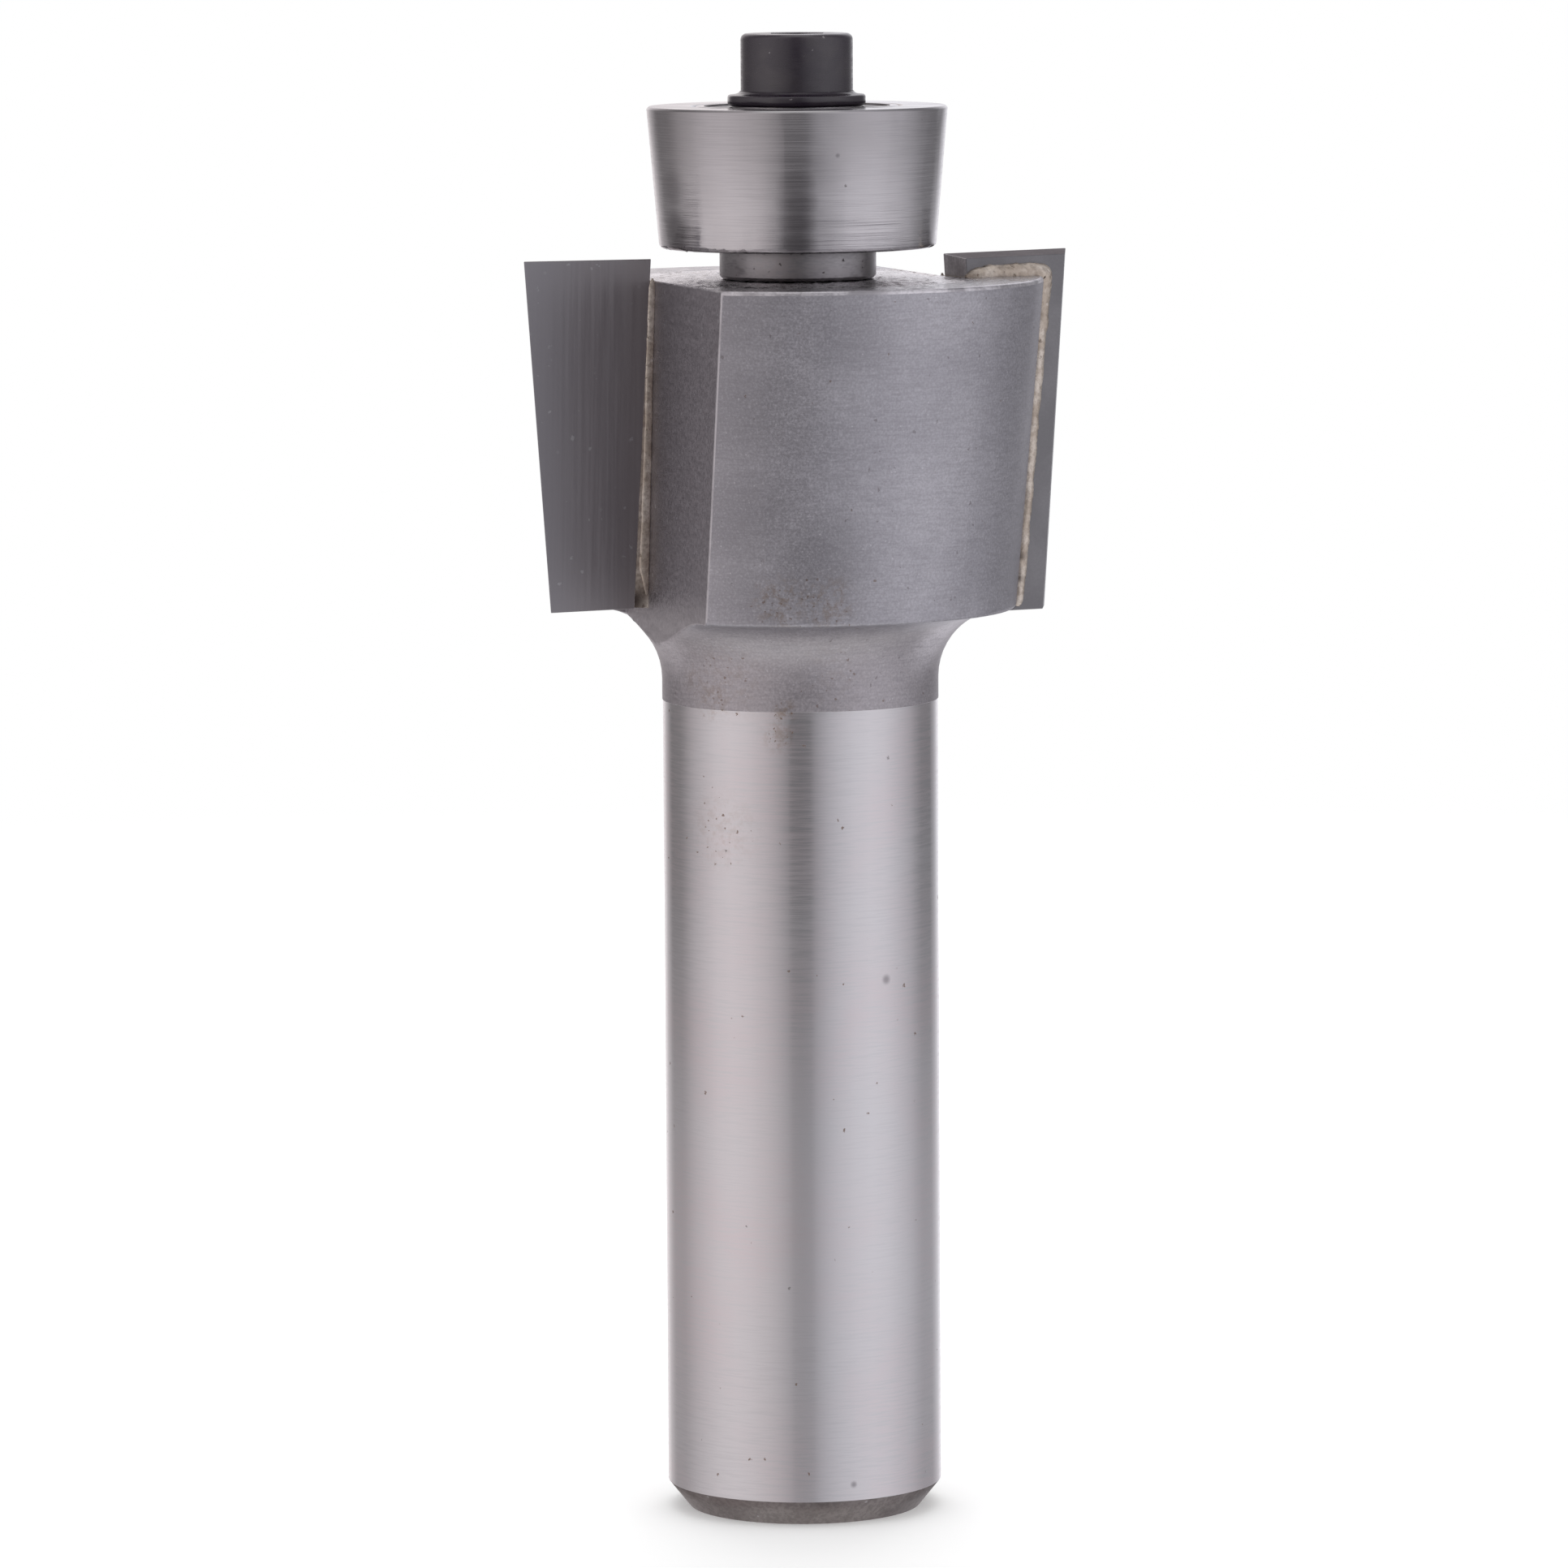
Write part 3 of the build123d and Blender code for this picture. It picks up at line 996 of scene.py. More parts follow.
@dataclass(frozen=True)
class BrazeMetal(Finish):
    """Silver braze that has tarnished to tan."""

    name: str = "tarnished_braze"
    base: Colour = (0.50, 0.43, 0.365)
    roughness: float = 0.42
    smoother: float = 0.08
    rougher: float = 0.12
    depth: float = 0.02
    metallic: float = 0.8
    light: Layer = Layer((0.68, 0.615, 0.55), band=(0.38, 0.66))
    hollows: Layer = Layer((0.20, 0.15, 0.115), 0.4, (0.58, 0.38))
    specks: Layer = Layer((0.20, 0.15, 0.115), 0.7)
    # Near black: dark residue spots, and painted shadow in the notch at each tip's foot
    residue_and_shade: Layer = Layer((0.06, 0.045, 0.04))
    glints: Layer = Layer((0.75, 0.70, 0.66), 0.6)

    def paint(self, s: Surface) -> None:
        """Lay the patterns.

        Args:
            s: The surface.
        """
        g, e = s.graph, s.effects
        grain = s.lay(e.grain, Size=0.2)
        s.tint(s.lay(e.blotches, Size=0.9)["Value"], self.light)
        s.tint(grain["Value"], self.hollows)
        specks = s.lay(e.specks, Size=0.26, Amount=0.12)["Mask"]
        s.tint(specks, self.specks)
        # Painted shadow in the notches, with the residue spots
        s.tint_places(BRAZE_RESIDUE_AND_SHADE, self.residue_and_shade)
        s.tint(grain["Glints"], self.glints)
        s.roughen(grain["Value"])
        s.relieve(g.math("SUBTRACT", grain["Value"], specks))


@dataclass(frozen=True)
class BlackOxide(Finish):
    """Black oxide on steel, a little oily."""

    name: str = "black_oxide_finish"
    base: Colour = (0.014, 0.008, 0.017)
    roughness: float = 0.23
    rougher: float = 0.07
    rough_band: Band = (0.35, 0.65)
    depth: float = 0.003
    metallic: float = 0.0
    specular: float = 0.75
    dust_roughness: float = 0.2
    slow_relief: float = 0.6
    brownish: Layer = Layer((0.025, 0.018, 0.025), band=(0.4, 0.7))
    dust: Layer = Layer((0.30, 0.28, 0.29), 0.5)

    def paint(self, s: Surface) -> None:
        """Lay the patterns.

        Args:
            s: The surface.
        """
        g, e = s.graph, s.effects
        slow = s.lay(e.blotches, Size=1.4)["Value"]
        lines = s.lay(e.tool_lines, Across=4.0, Around=0.6)["Value"]
        dust = s.lay(e.specks, Size=0.2, Amount=0.05)["Mask"]
        s.tint(slow, self.brownish)
        s.tint(dust, self.dust)
        s.roughen(lines, g.product(dust, self.dust_roughness))
        s.relieve(g.math("ADD", lines, g.product(slow, self.slow_relief)))


class Coat(Enum):
    """Every finish of the bit."""

    SHANK = GroundSteel(
        "ground_shank", (0.60, 0.59, 0.605), 0.14, depth=0.00012, line_tone=0.05, rust=1.0, pits=0.004,
        marks=SHANK_MARKS,
    )
    HEAD = BlastedSteel()
    GULLET = MilledSteel()
    TOP = FacedSteel()
    FOOT = ScaledSteel()
    EDGE = WornAndHighlightedEdge()
    TIP_FACE = GroundCarbide()
    TIP_BACK = SinteredCarbide()
    TIP_END = SinteredCarbide(
        "carbide_end", (0.185, 0.162, 0.170), glancing=0.5,
        light=Layer((0.23, 0.203, 0.212), band=SLOW_BAND),
    )
    # Painted light: a lightened copy of the sintered carbide, standing in for light on the root face, which
    # lies in shade beside the guide
    TIP_ROOT = SinteredCarbide(
        "carbide_root_painted_light", (0.50, 0.46, 0.475), metallic=0.4,
        light=Layer((0.90, 0.86, 0.88), band=SLOW_BAND),
    )
    BRAZE = BrazeMetal()
    GUIDE = GroundSteel(
        "ground_guide", (0.56, 0.545, 0.56), 0.15, depth=0.0002, across=15.0, around=0.3, line_tone=0.13,
        line_lean=1.4, warm=Layer((0.50, 0.482, 0.49), band=WARM_BAND), pits=0.006, pit_size=0.2,
        marks=GUIDE_MARKS_AND_DARK_REFLECTION, darker_upwards=Layer(DULL_AND_DARK_REFLECTION_TONE, 0.36, (59.0, 65.0)),
    )
    SPACER = GroundSteel(
        "turned_spacer", (0.375, 0.363, 0.375), 0.36, depth=0.002, across=4.0, around=1.6, line_tone=0.3,
        warm=Layer((0.295, 0.275, 0.28), band=WARM_BAND), pits=0.08, pit_size=0.2,
    )
    RACE = GroundSteel("bearing_race", (0.50, 0.49, 0.50), 0.2, depth=0.0004, across=8.0, around=0.3)
    SHEET = GroundSteel(
        "pressed_sheet", (0.15, 0.143, 0.15), 0.36, depth=0.002, across=3.0, around=0.6, line_tone=0.25,
        warm=Layer((0.12, 0.108, 0.108), band=WARM_BAND), pits=0.05,
    )
    BLACK = BlackOxide()


Materials = dict[Coat, bpy.types.Material]


def all_materials() -> Materials:
    """Build every finish once.

    Returns:
        Each finish's material.
    """
    effects = shared_effects()
    return {coat: coat.value.build(effects) for coat in Coat}


# Meshes


def node_mesh(node: str) -> bmesh.types.BMesh:
    """Copy a CAD node's mesh with its loose triangles merged and its flat faces whole.

    Args:
        node: The CAD node's name.

    Returns:
        The copy, to be edited.
    """
    merge_distance, flat_angle = 0.002 * MM, math.radians(0.4)
    bm = bmesh.new()
    bm.from_mesh(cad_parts[node].data)
    bmesh.ops.remove_doubles(bm, verts=bm.verts, dist=merge_distance)
    bmesh.ops.dissolve_limit(bm, angle_limit=flat_angle, verts=bm.verts, edges=bm.edges, delimit={"NORMAL"})
    return bm


def break_edges(bm: bmesh.types.BMesh, width: float, angle: float = 25.0, segments: int = 2,
                low: float = -1.0, high: float = 1.0) -> list[bmesh.types.BMFace]:
    """Take the sharpness off a mesh's edges.

    Args:
        bm: The mesh.
        width: Width of the broken edge, in metres.
        angle: Least angle between two faces whose edge is broken, in degrees.
        segments: Steps of the rounding.
        low: Lowest height of an edge that is broken, in metres.
        high: Highest height of an edge that is broken, in metres.

    Returns:
        The new faces.
    """
    least = math.radians(angle)
    sharp = [
        e for e in bm.edges
        if e.is_manifold and e.calc_face_angle(0) > least and all(low < v.co.z < high for v in e.verts)
    ]
    made = bmesh.ops.bevel(
        bm, geom=sharp, offset=width, offset_type="OFFSET", segments=segments, profile=0.5,
        affect="EDGES", clamp_overlap=False, material=-1,
    )
    return made["faces"]


def turn_outline(points: list[Band], closed: bool) -> bmesh.types.BMesh:
    """Spin an outline round the axis.

    Args:
        points: Radius and height of each point, in metres.
        closed: Whether the last point is joined to the first.

    Returns:
        The turned mesh, to be edited.
    """
    bm = bmesh.new()
    verts = [bm.verts.new((radius, 0, height)) for radius, height in points]
    ends = verts[1:] + (verts[:1] if closed else [])
    edges = [bm.edges.new(pair) for pair in zip(verts, ends)]
    bmesh.ops.spin(bm, geom=verts + edges, cent=(0, 0, 0), axis=(0, 0, 1), steps=ROUND_STEPS,
                   angle=math.tau, use_merge=True, use_duplicate=False)
    return bm


def linked(name: str, data: Any) -> bpy.types.Object:
    """Make an object of its data and link it to the scene.

    Args:
        name: The object's name.
        data: Its mesh, camera or light.

    Returns:
        The object.
    """
    made = bpy.data.objects.new(name, data)
    bpy.context.scene.collection.objects.link(made)
    return made


def mesh_object(bm: bmesh.types.BMesh, name: str) -> bpy.types.Object:
    """Make an object of a mesh.

    Args:
        bm: The mesh. It is freed.
        name: The object's name.

    Returns:
        The object, linked to the scene.
    """
    mesh = bpy.data.meshes.new(name)
    bm.to_mesh(mesh)
    bm.free()
    return linked(name, mesh)


def finish_mesh(bm: bmesh.types.BMesh, name: str, smooth_angle: float = 42.0) -> bpy.types.Object:
    """Make an object of a mesh, shaded smooth up to an angle.

    Args:
        bm: The mesh. It is freed.
        name: The object's name.
        smooth_angle: Greatest angle that is shaded smooth, in degrees.

    Returns:
        The new object, linked to the scene.
    """
    limit = math.radians(smooth_angle)
    for face in bm.faces:
        face.smooth = True
    for edge in bm.edges:
        edge.smooth = not edge.is_manifold or edge.calc_face_angle(0) < limit
    made = mesh_object(bm, name)
    made.modifiers.new("weighted_normals", "WEIGHTED_NORMAL").keep_sharp = True
    return made


def join_piece(piece: bpy.types.Object, body: str, slot: Slot, *nodes: str) -> None:
    """Tell the frame what a piece rides on and what it replaces, and log it.

    Args:
        piece: The piece.
        body: The CAD body it rides on.
        slot: The record's material slot. It is not used.
        *nodes: The CAD nodes it stands for.
    """
    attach(piece, body)
    if nodes:
        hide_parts(*nodes)
    log.info("%s: %d faces, rides on %s", piece.name, len(piece.data.polygons), body)


def dress(piece: bpy.types.Object, materials: Materials, *coats: Coat) -> None:
    """Put finishes in a piece's material slots, in place of what it has.

    Args:
        piece: The piece.
        materials: Each finish's material.
        *coats: The finishes, in the order of the slots.
    """
    slots = piece.data.materials
    for number, coat in enumerate(coats):
        if number < len(slots):
            slots[number] = materials[coat]
        else:
            slots.append(materials[coat])


# Pieces


@dataclass
class CutterBody:
    """Shank, neck, head and stem, with a finish for each zone.

    The depth, the reach and the fade of the tears in the faced top are in millimetres.
    """

    materials: Materials
    shank_top: float = 37.7 * MM
    foot_top: float = 1.2 * MM
    head_top: float = 57.1 * MM
    gullet_bottom: float = 38.5 * MM
    edge_width: float = 0.085 * MM
    rim_width: float = 0.14 * MM
    edge_finish_from: float = 42.5 * MM
    foot_margin: float = 0.01 * MM
    facing_up: float = 0.9
    rim_slope: float = 0.4
    run_out_slope: float = 0.5
    least_level: float = 0.3
    turned_match: float = 0.93
    tear_cell: float = 0.2 * MM
    tear_depth: float = 0.085
    tear_scales: Band = (1.7, 4.3)
    tear_rings: float = 16.0
    ring_wander: float = 0.6
    ring_share: float = 0.25
    tear_reach: float = 8.7
    tear_fade: float = 0.4
    rim_tear: float = 0.06

    def zone(self, face: bmesh.types.BMFace) -> Zone:
        """Tell a face's finish from its place and direction.

        Args:
            face: A face of the body.

        Returns:
            Its zone.
        """
        middle, normal = face.calc_center_median(), face.normal
        outwards = Vector((middle.x, middle.y, 0)).normalized()
        if middle.z < self.foot_top - self.foot_margin:
            return Zone.SCALE
        if middle.z < self.shank_top:
            return Zone.GROUND
        if normal.z > self.facing_up and middle.z > self.head_top - self.edge_width:
            return Zone.FACED
        if middle.z > self.head_top:
            return Zone.GROUND
        if middle.z > self.head_top - self.rim_width and normal.z > self.rim_slope:
            return Zone.EDGE
        level = normal.xy.length
        turned = level > self.least_level and normal.dot(outwards) / level > self.turned_match
        run_out = normal.z > self.run_out_slope and middle.z > self.gullet_bottom
        if (level > self.least_level and not turned) or run_out:
            return Zone.MILLED
        return Zone.BLASTED

    def tear(self, spot: Vector) -> float:
        """Tell how deep the faced top is torn.

        Args:
            spot: A place on the top, in millimetres.

        Returns:
            The depth there, in millimetres.
        """
        coarse, fine = (noise.noise(spot * scale) for scale in self.tear_scales)
        rough = 0.5 + 0.5 * coarse + 0.5 * fine
        out = spot.xy.length
        ring = 0.5 + 0.5 * math.sin(out * self.tear_rings + 2 * noise.noise(spot * self.ring_wander))
        inside = min(1.0, max(self.rim_tear, (self.tear_reach - out) / self.tear_fade))
        return self.tear_depth * inside * max(0.0, rough + self.ring_share * (ring - rough))

    def tear_top(self, bm: bmesh.types.BMesh) -> None:
        """Cut the faced top into cells and lower their corners unevenly, as the lathe tore it.

        Args:
            bm: The body.
        """
        tops = [f for f in bm.faces if f.material_index == Zone.FACED.value]
        reach = max(v.co.xy.length for f in tops for v in f.verts)
        count = int(2 * reach / self.tear_cell)
        for direction in (Vector((1, 0, 0)), Vector((0, 1, 0))):
            for number in range(1, count):
                tops = [f for f in bm.faces if f.material_index == Zone.FACED.value]
                parts = [*tops, *{e for f in tops for e in f.edges}, *{v for f in tops for v in f.verts}]
                place = direction * (number * self.tear_cell - reach)
                bmesh.ops.bisect_plane(bm, geom=parts, dist=CUT_DISTANCE, plane_co=place, plane_no=direction)
        for vert in bm.verts:
            if vert.link_faces and all(f.material_index == Zone.FACED.value for f in vert.link_faces):
                vert.co.z -= self.tear(vert.co / MM) * MM

    def build(self) -> None:
        """Make the dressed body."""
        bm = node_mesh("cutter_body")
        for face in bm.faces:
            face.material_index = self.zone(face).value
        broken = break_edges(bm, self.edge_width, angle=35.0, low=self.gullet_bottom,
                             high=self.head_top + self.edge_width)
        for face in broken:
            if self.edge_finish_from < face.calc_center_median().z:
                face.material_index = Zone.EDGE.value
        self.tear_top(bm)
        piece = finish_mesh(bm, "cutter_body_dressed")
        coats = (Coat.SHANK, Coat.HEAD, Coat.GULLET, Coat.TOP, Coat.FOOT, Coat.EDGE)
        dress(piece, self.materials, *coats)
        join_piece(piece, "cutter", Slot.BODY, "cutter_body")


@dataclass
class CarbideTips:
    """Both carbide tips, ground in front and sintered at the back."""

    materials: Materials
    edge_width: float = 0.025 * MM
    smooth_angle: float = 20.0
    end_slope: float = 0.7
    root_slope: float = 0.7
    back_slope: float = 0.5

    def side(self, face: bmesh.types.BMFace, facing: float) -> TipSide:
        """Tell the back, the end and the root of a tip from its ground faces.

        Args:
            face: A face of the tip.
            facing: Which way along Y the cutting face looks, 1 or -1.

        Returns:
            The face's finish.
        """
        if face.normal.z > self.end_slope:
            return TipSide.END
        if face.normal.x * facing < -self.root_slope:
            return TipSide.ROOT
        return TipSide.SINTERED if face.normal.y * facing < -self.back_slope else TipSide.GROUND

    def build_one(self, number: int, facing: float) -> None:
        """Make one tip.

        Args:
            number: The tip's number.
            facing: Which way along Y the cutting face looks, 1 or -1.
        """
        node = f"carbide_tip_{number}"
        bm = node_mesh(node)
        for face in bm.faces:
            face.material_index = self.side(face, facing).value
        break_edges(bm, self.edge_width, segments=1)
        piece = finish_mesh(bm, node + "_dressed", self.smooth_angle)
        dress(piece, self.materials, Coat.TIP_FACE, Coat.TIP_BACK, Coat.TIP_END, Coat.TIP_ROOT)
        join_piece(piece, "cutter", Slot.CARBIDE, node)

    def build(self) -> None:
        """Make both tips."""
        self.build_one(1, -1.0)
        self.build_one(2, 1.0)


@dataclass(frozen=True)
class TipFrame:
    """Where the surfaces round tip 2 lie, in millimetres and radians."""

    top: float = 58.16
    cutting_radius: float = 13.27
    plate: float = 2.2
    hook: float = math.radians(6.6)
    shear: float = math.radians(2.5)
    head_bottom: float = 41.9
    head_top: float = 57.1
    bottom_radius: float = 9.97
    taper: float = math.radians(5.0)
    wall: float = 6.54
    wall_lean: float = math.radians(0.5)
    root: float = 6.75
    root_lean: float = math.radians(2.3)

    def face_y(self, z: float) -> float:
        """Give Y of the cutting face at a height."""
        return -(self.cutting_radius * math.sin(self.hook) + (self.top - z) * math.tan(self.shear))

    def back_y(self, z: float) -> float:
        """Give Y of the tip's back at a height."""
        return self.face_y(z) - self.plate / math.cos(self.shear)

    def land_x(self, z: float) -> float:
        """Give X of the line where the tip's back meets the outside of the head."""
        radius = self.bottom_radius + (z - self.head_bottom) * math.tan(self.taper)
        return math.sqrt(radius**2 - self.back_y(z) ** 2)

    def wall_x(self, z: float) -> float:
        """Give X of the gullet's corner at a height."""
        return self.wall + (self.top - z) * math.tan(self.wall_lean)

    def root_x(self, z: float) -> float:
        """Give X of the tip's root at a height."""
        return self.root + (self.top - z) * math.tan(self.root_lean)


@dataclass(frozen=True)
class Ring:
    """One ring of a swept tube, in millimetres: its centre, and its half widths across and along Y."""

    centre: Vector
    wide: float
    deep: float


def between(stops: tuple[Band, ...], at: float) -> float:
    """Read a value between stops.

    Args:
        stops: Pairs of a place and its value, in order.
        at: The place.

    Returns:
        The value there.
    """
    for (start, first), (end, last) in zip(stops, stops[1:]):
        if at <= end:
            return first + (last - first) * max(0.0, at - start) / (end - start)
    return stops[-1][1]


def sweep(bm: bmesh.types.BMesh, rings: list[Ring], lump: float, sides: int = 16) -> None:
    """Sweep a closed, lumpy tube through rings.

    Args:
        bm: The mesh that gets the tube.
        rings: The rings, along a path that never runs along Y.
        lump: Greatest rise of the lumps, as a share of the ring's half width.
        sides: Corners of each ring.
    """
    coarse, fine, fine_share = 1.7, 5.5, 0.55
    hoops = []
    for number, ring in enumerate(rings):
        before, after = rings[max(number - 1, 0)], rings[min(number + 1, len(rings) - 1)]
        along = (after.centre - before.centre).normalized()
        across = along.cross(Vector((0, 1, 0))).normalized()
        turn = Matrix((across, across.cross(along), along)).transposed().to_4x4()
        size = Matrix.Diagonal((ring.wide * MM, ring.deep * MM, MM, 1.0))
        place = Matrix.Translation(ring.centre * MM) @ turn @ size
        verts = bmesh.ops.create_circle(bm, segments=sides, radius=1.0, matrix=place)["verts"]
        for vert in verts:
            spot = vert.co / MM
            rise = noise.noise(spot * coarse) + fine_share * noise.noise(spot * fine)
            vert.co = ring.centre * MM + (vert.co - ring.centre * MM) * (1 + lump * rise)
        hoops.append(list({edge for vert in verts for edge in vert.link_edges}))
    for first, second in zip(hoops, hoops[1:]):
        bmesh.ops.bridge_loops(bm, edges=first + second)
    for hoop in (hoops[0], hoops[-1]):
        bmesh.ops.holes_fill(bm, edges=hoop, sides=sides)


@dataclass
class Braze:
    """Braze of both tips: the layer in the seat, the line in the gullet's corner and the bead behind.

    Its sizes are in millimetres, and the lumps are shares of the half widths.
    """

    materials: Materials
    tip_bottoms: Band = (42.01, 41.61)
    step: float = 0.14
    bead_start: float = 6.72
    bead_foot: float = 41.95
    bead_widths: tuple[Band, ...] = (
        (0.0, 0.10), (0.25, 0.30), (0.7, 0.45), (1.3, 0.56), (3.3, 0.57), (4.3, 0.56), (5.2, 0.49),
        (6.4, 0.41), (7.6, 0.36), (11.0, 0.34), (15.0, 0.31), (18.8, 0.27), (19.2, 0.10),
    )
    bead_lump: float = 0.2
    bead_forward: float = 0.13
    forward_run: float = 4.0
    corner_rounds: int = 5
    line_top: float = 57.2
    line_end: float = 0.5
    line_taper: float = 1.4
    line_lump: float = 0.16
    line_shares: tuple[Band, ...] = ((0.0, 1.3), (3.0, 1.1), (6.5, 0.78), (16.0, 0.74))
    line_start: float = 0.3
    start_run: float = 0.5
    end_share: float = 0.25
    least_depth: float = 0.035
    depth_share: float = 0.13
    notch_height: float = 0.9
    notch_depth: float = 0.8
    notch_near: float = 0.06

    def bead_rings(self, tip: TipFrame) -> list[Ring]:
        """Lay the bead along the head's top, round its corner and down its side.

        Args:
            tip: The surfaces round the tip.

        Returns:
            The rings.
        """
        path = []
        back = tip.back_y(tip.head_top)
        x = self.bead_start
        while x < tip.land_x(tip.head_top):
            path.append(Vector((x, back, tip.head_top)))
            x += self.step
        z = tip.head_top
        while z > self.bead_foot:
            forward = self.bead_forward * min(1.0, (tip.head_top - z) / self.forward_run)
            path.append(Vector((tip.land_x(z), tip.back_y(z) - forward, z)))
            z -= self.step
        for _ in range(self.corner_rounds):
            inner = [(a + b + c) / 3 for a, b, c in zip(path, path[1:], path[2:])]
            path = [path[0], *inner, path[-1]]
        run, rings = 0.0, []
        for number, point in enumerate(path):
            run += (point - path[number - 1]).length if number else 0.0
            width = between(self.bead_widths, run)
            rings.append(Ring(point, width, width))
        return rings

    def line_rings(self, tip: TipFrame, bottom: float) -> list[Ring]:
        """Lay the line down the gullet's corner, narrowing towards the wall at its foot.

        Args:
            tip: The surfaces round the tip.
            bottom: Height of the tip's bottom.

        Returns:
            The rings.
        """
        rings = []
        z = self.line_top
        while z > bottom + self.line_end:
            wall, root = tip.wall_x(z), tip.root_x(z)
            left = min(1.0, (z - bottom - self.line_end) / self.line_taper)
            share = between(self.line_shares, self.line_top - z)
            half = (root - wall) / 2
            reach = share * half * (self.end_share + (1 - self.end_share) * left)
            started = min(1.0, self.line_start + (self.line_top - z) / self.start_run)
            centre = Vector((wall + min(reach, half), tip.face_y(z), z))
            deep = self.least_depth + self.depth_share * reach
            rings.append(Ring(centre, reach * started, deep * started))
            z -= self.step
        return rings

    def cut_notch(self, bm: bmesh.types.BMesh, tip: TipFrame, bottom: float) -> None:
        """Hollow the foot of the layer beside the tip.

        Args:
            bm: The layer.
            tip: The surfaces round the tip.
            bottom: Height of the tip's bottom.
        """
        near = self.notch_near
        start = Vector((0, 0, (bottom + self.notch_height) * MM))
        parts = [*bm.verts, *bm.edges, *bm.faces]
        bmesh.ops.bisect_plane(bm, geom=parts, dist=CUT_DISTANCE, plane_co=start, plane_no=(0, 0, 1))
        for vert in bm.verts:
            x, y, z = vert.co / MM
            beside = abs(x - tip.root_x(z)) < near and abs(y - tip.face_y(z)) < near
            if beside and abs(z - bottom) < near:
                vert.co.y -= self.notch_depth * MM

    def build_one(self, number: int) -> None:
        """Make one tip's braze.

        Args:
            number: The tip's number. Tip 1 is tip 2 turned half round.
        """
        tip, bottom = TipFrame(), self.tip_bottoms[number - 1]
        half_turn = Matrix.Rotation(math.pi if number == 1 else 0.0, 4, "Z")
        bm = node_mesh(f"braze_{number}")
        bm.transform(half_turn)
        self.cut_notch(bm, tip, bottom)
        sweep(bm, self.bead_rings(tip), self.bead_lump)
        sweep(bm, self.line_rings(tip, bottom), self.line_lump)
        bm.transform(half_turn)
        bmesh.ops.recalc_face_normals(bm, faces=bm.faces)
        piece = finish_mesh(bm, f"braze_{number}_dressed")
        dress(piece, self.materials, Coat.BRAZE)
        join_piece(piece, "cutter", Slot.BRAZE, f"braze_{number}")

    def build(self) -> None:
        """Make the braze of both tips."""
        self.build_one(1)
        self.build_one(2)


@dataclass
class Washer:
    """Washer under the screw, its top drawn up round the screw's head and its rim a little uneven.

    Its outline is in millimetres.
    """

    materials: Materials
    hole: float = 1.6875
    rim: float = 3.175
    bottom: float = 65.0
    top: float = 65.5
    edge: float = 0.12
    lip: float = 2.6
    lip_rise: float = 0.18
    head_radius: float = 2.58
    lip_curve: tuple[Band, ...] = ((0.30, 0.02), (0.16, 0.05), (0.06, 0.10))
    wobble: float = 0.016
    wobble_scale: float = 0.9
    broken: float = 0.02 * MM

    def build(self) -> None:
        """Make the washer."""
        outline = [
            (self.hole, self.bottom),
            (self.rim - self.edge, self.bottom),
            (self.rim, self.bottom + self.edge),
            (self.rim, self.top - self.edge / 2),
            (self.rim - self.edge / 2, self.top),
            *((self.lip + out, self.top + up) for out, up in self.lip_curve),
            (self.lip, self.top + self.lip_rise),
            (self.head_radius, self.top + self.lip_rise),
            (self.head_radius, self.top),
            (self.hole, self.top),
        ]
        bm = turn_outline([(radius * MM, height * MM) for radius, height in outline], closed=True)
        for vert in bm.verts:
            if vert.co.xy.length > self.lip * MM:
                vert.co.xy *= 1 + self.wobble * noise.noise(vert.co / MM * self.wobble_scale)
        bmesh.ops.recalc_face_normals(bm, faces=bm.faces)
        break_edges(bm, self.broken, angle=30.0, segments=1)
        piece = finish_mesh(bm, "washer_dressed")
        dress(piece, self.materials, Coat.BLACK)
        join_piece(piece, "cutter", Slot.BLACK, "washer")


@dataclass
class SimplePieces:
    """Pieces whose CAD form only needs its edges broken, and bearing parts that keep their CAD form."""

    materials: Materials

    def build(self) -> None:
        """Dress every remaining node."""
        dressed = [
            ("guide_sleeve", "guide", Slot.GROUND, Coat.GUIDE, 0.03),
            ("spacer_ring", "cutter", Slot.TURNED, Coat.SPACER, 0.03),
            ("cap_screw", "cutter", Slot.BLACK, Coat.BLACK, 0.04),
        ]
        for node, body, slot, coat, width in dressed:
            bm = node_mesh(node)
            break_edges(bm, width * MM, angle=30.0)
            piece = finish_mesh(bm, node + "_dressed")
            dress(piece, self.materials, coat)
            join_piece(piece, body, slot, node)
        for node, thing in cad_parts.items():
            if "bearing" in node:
                sheet = "shield" in node or "cage" in node
                dress(thing, self.materials, Coat.SHEET if sheet else Coat.RACE)
                log.info("%s: its CAD form, with a finish", node)


# Studio


def towards(azimuth: float, elevation: float, turn: float) -> Vector:
    """Direction from the object, by angles from the camera's side.

    Args:
        azimuth: Degrees to the right of the camera, as the camera sees it.
        elevation: Degrees above the horizon.
        turn: Azimuth of the camera in the frame, in radians.

    Returns:
        The unit vector.
    """
    a, e = math.radians(azimuth) + turn, math.radians(elevation)
    return Vector((math.sin(a) * math.cos(e), -math.cos(a) * math.cos(e), math.sin(e)))


def stage_object(bm: bmesh.types.BMesh, name: str, material: bpy.types.Material) -> bpy.types.Object:
    """Make a stage object of a mesh.

    Args:
        bm: The mesh. It is freed.
        name: The object's name.
        material: Its material.

    Returns:
        The object, linked to the scene.
    """
    made = mesh_object(bm, name)
    made.data.materials.append(material)
    return made


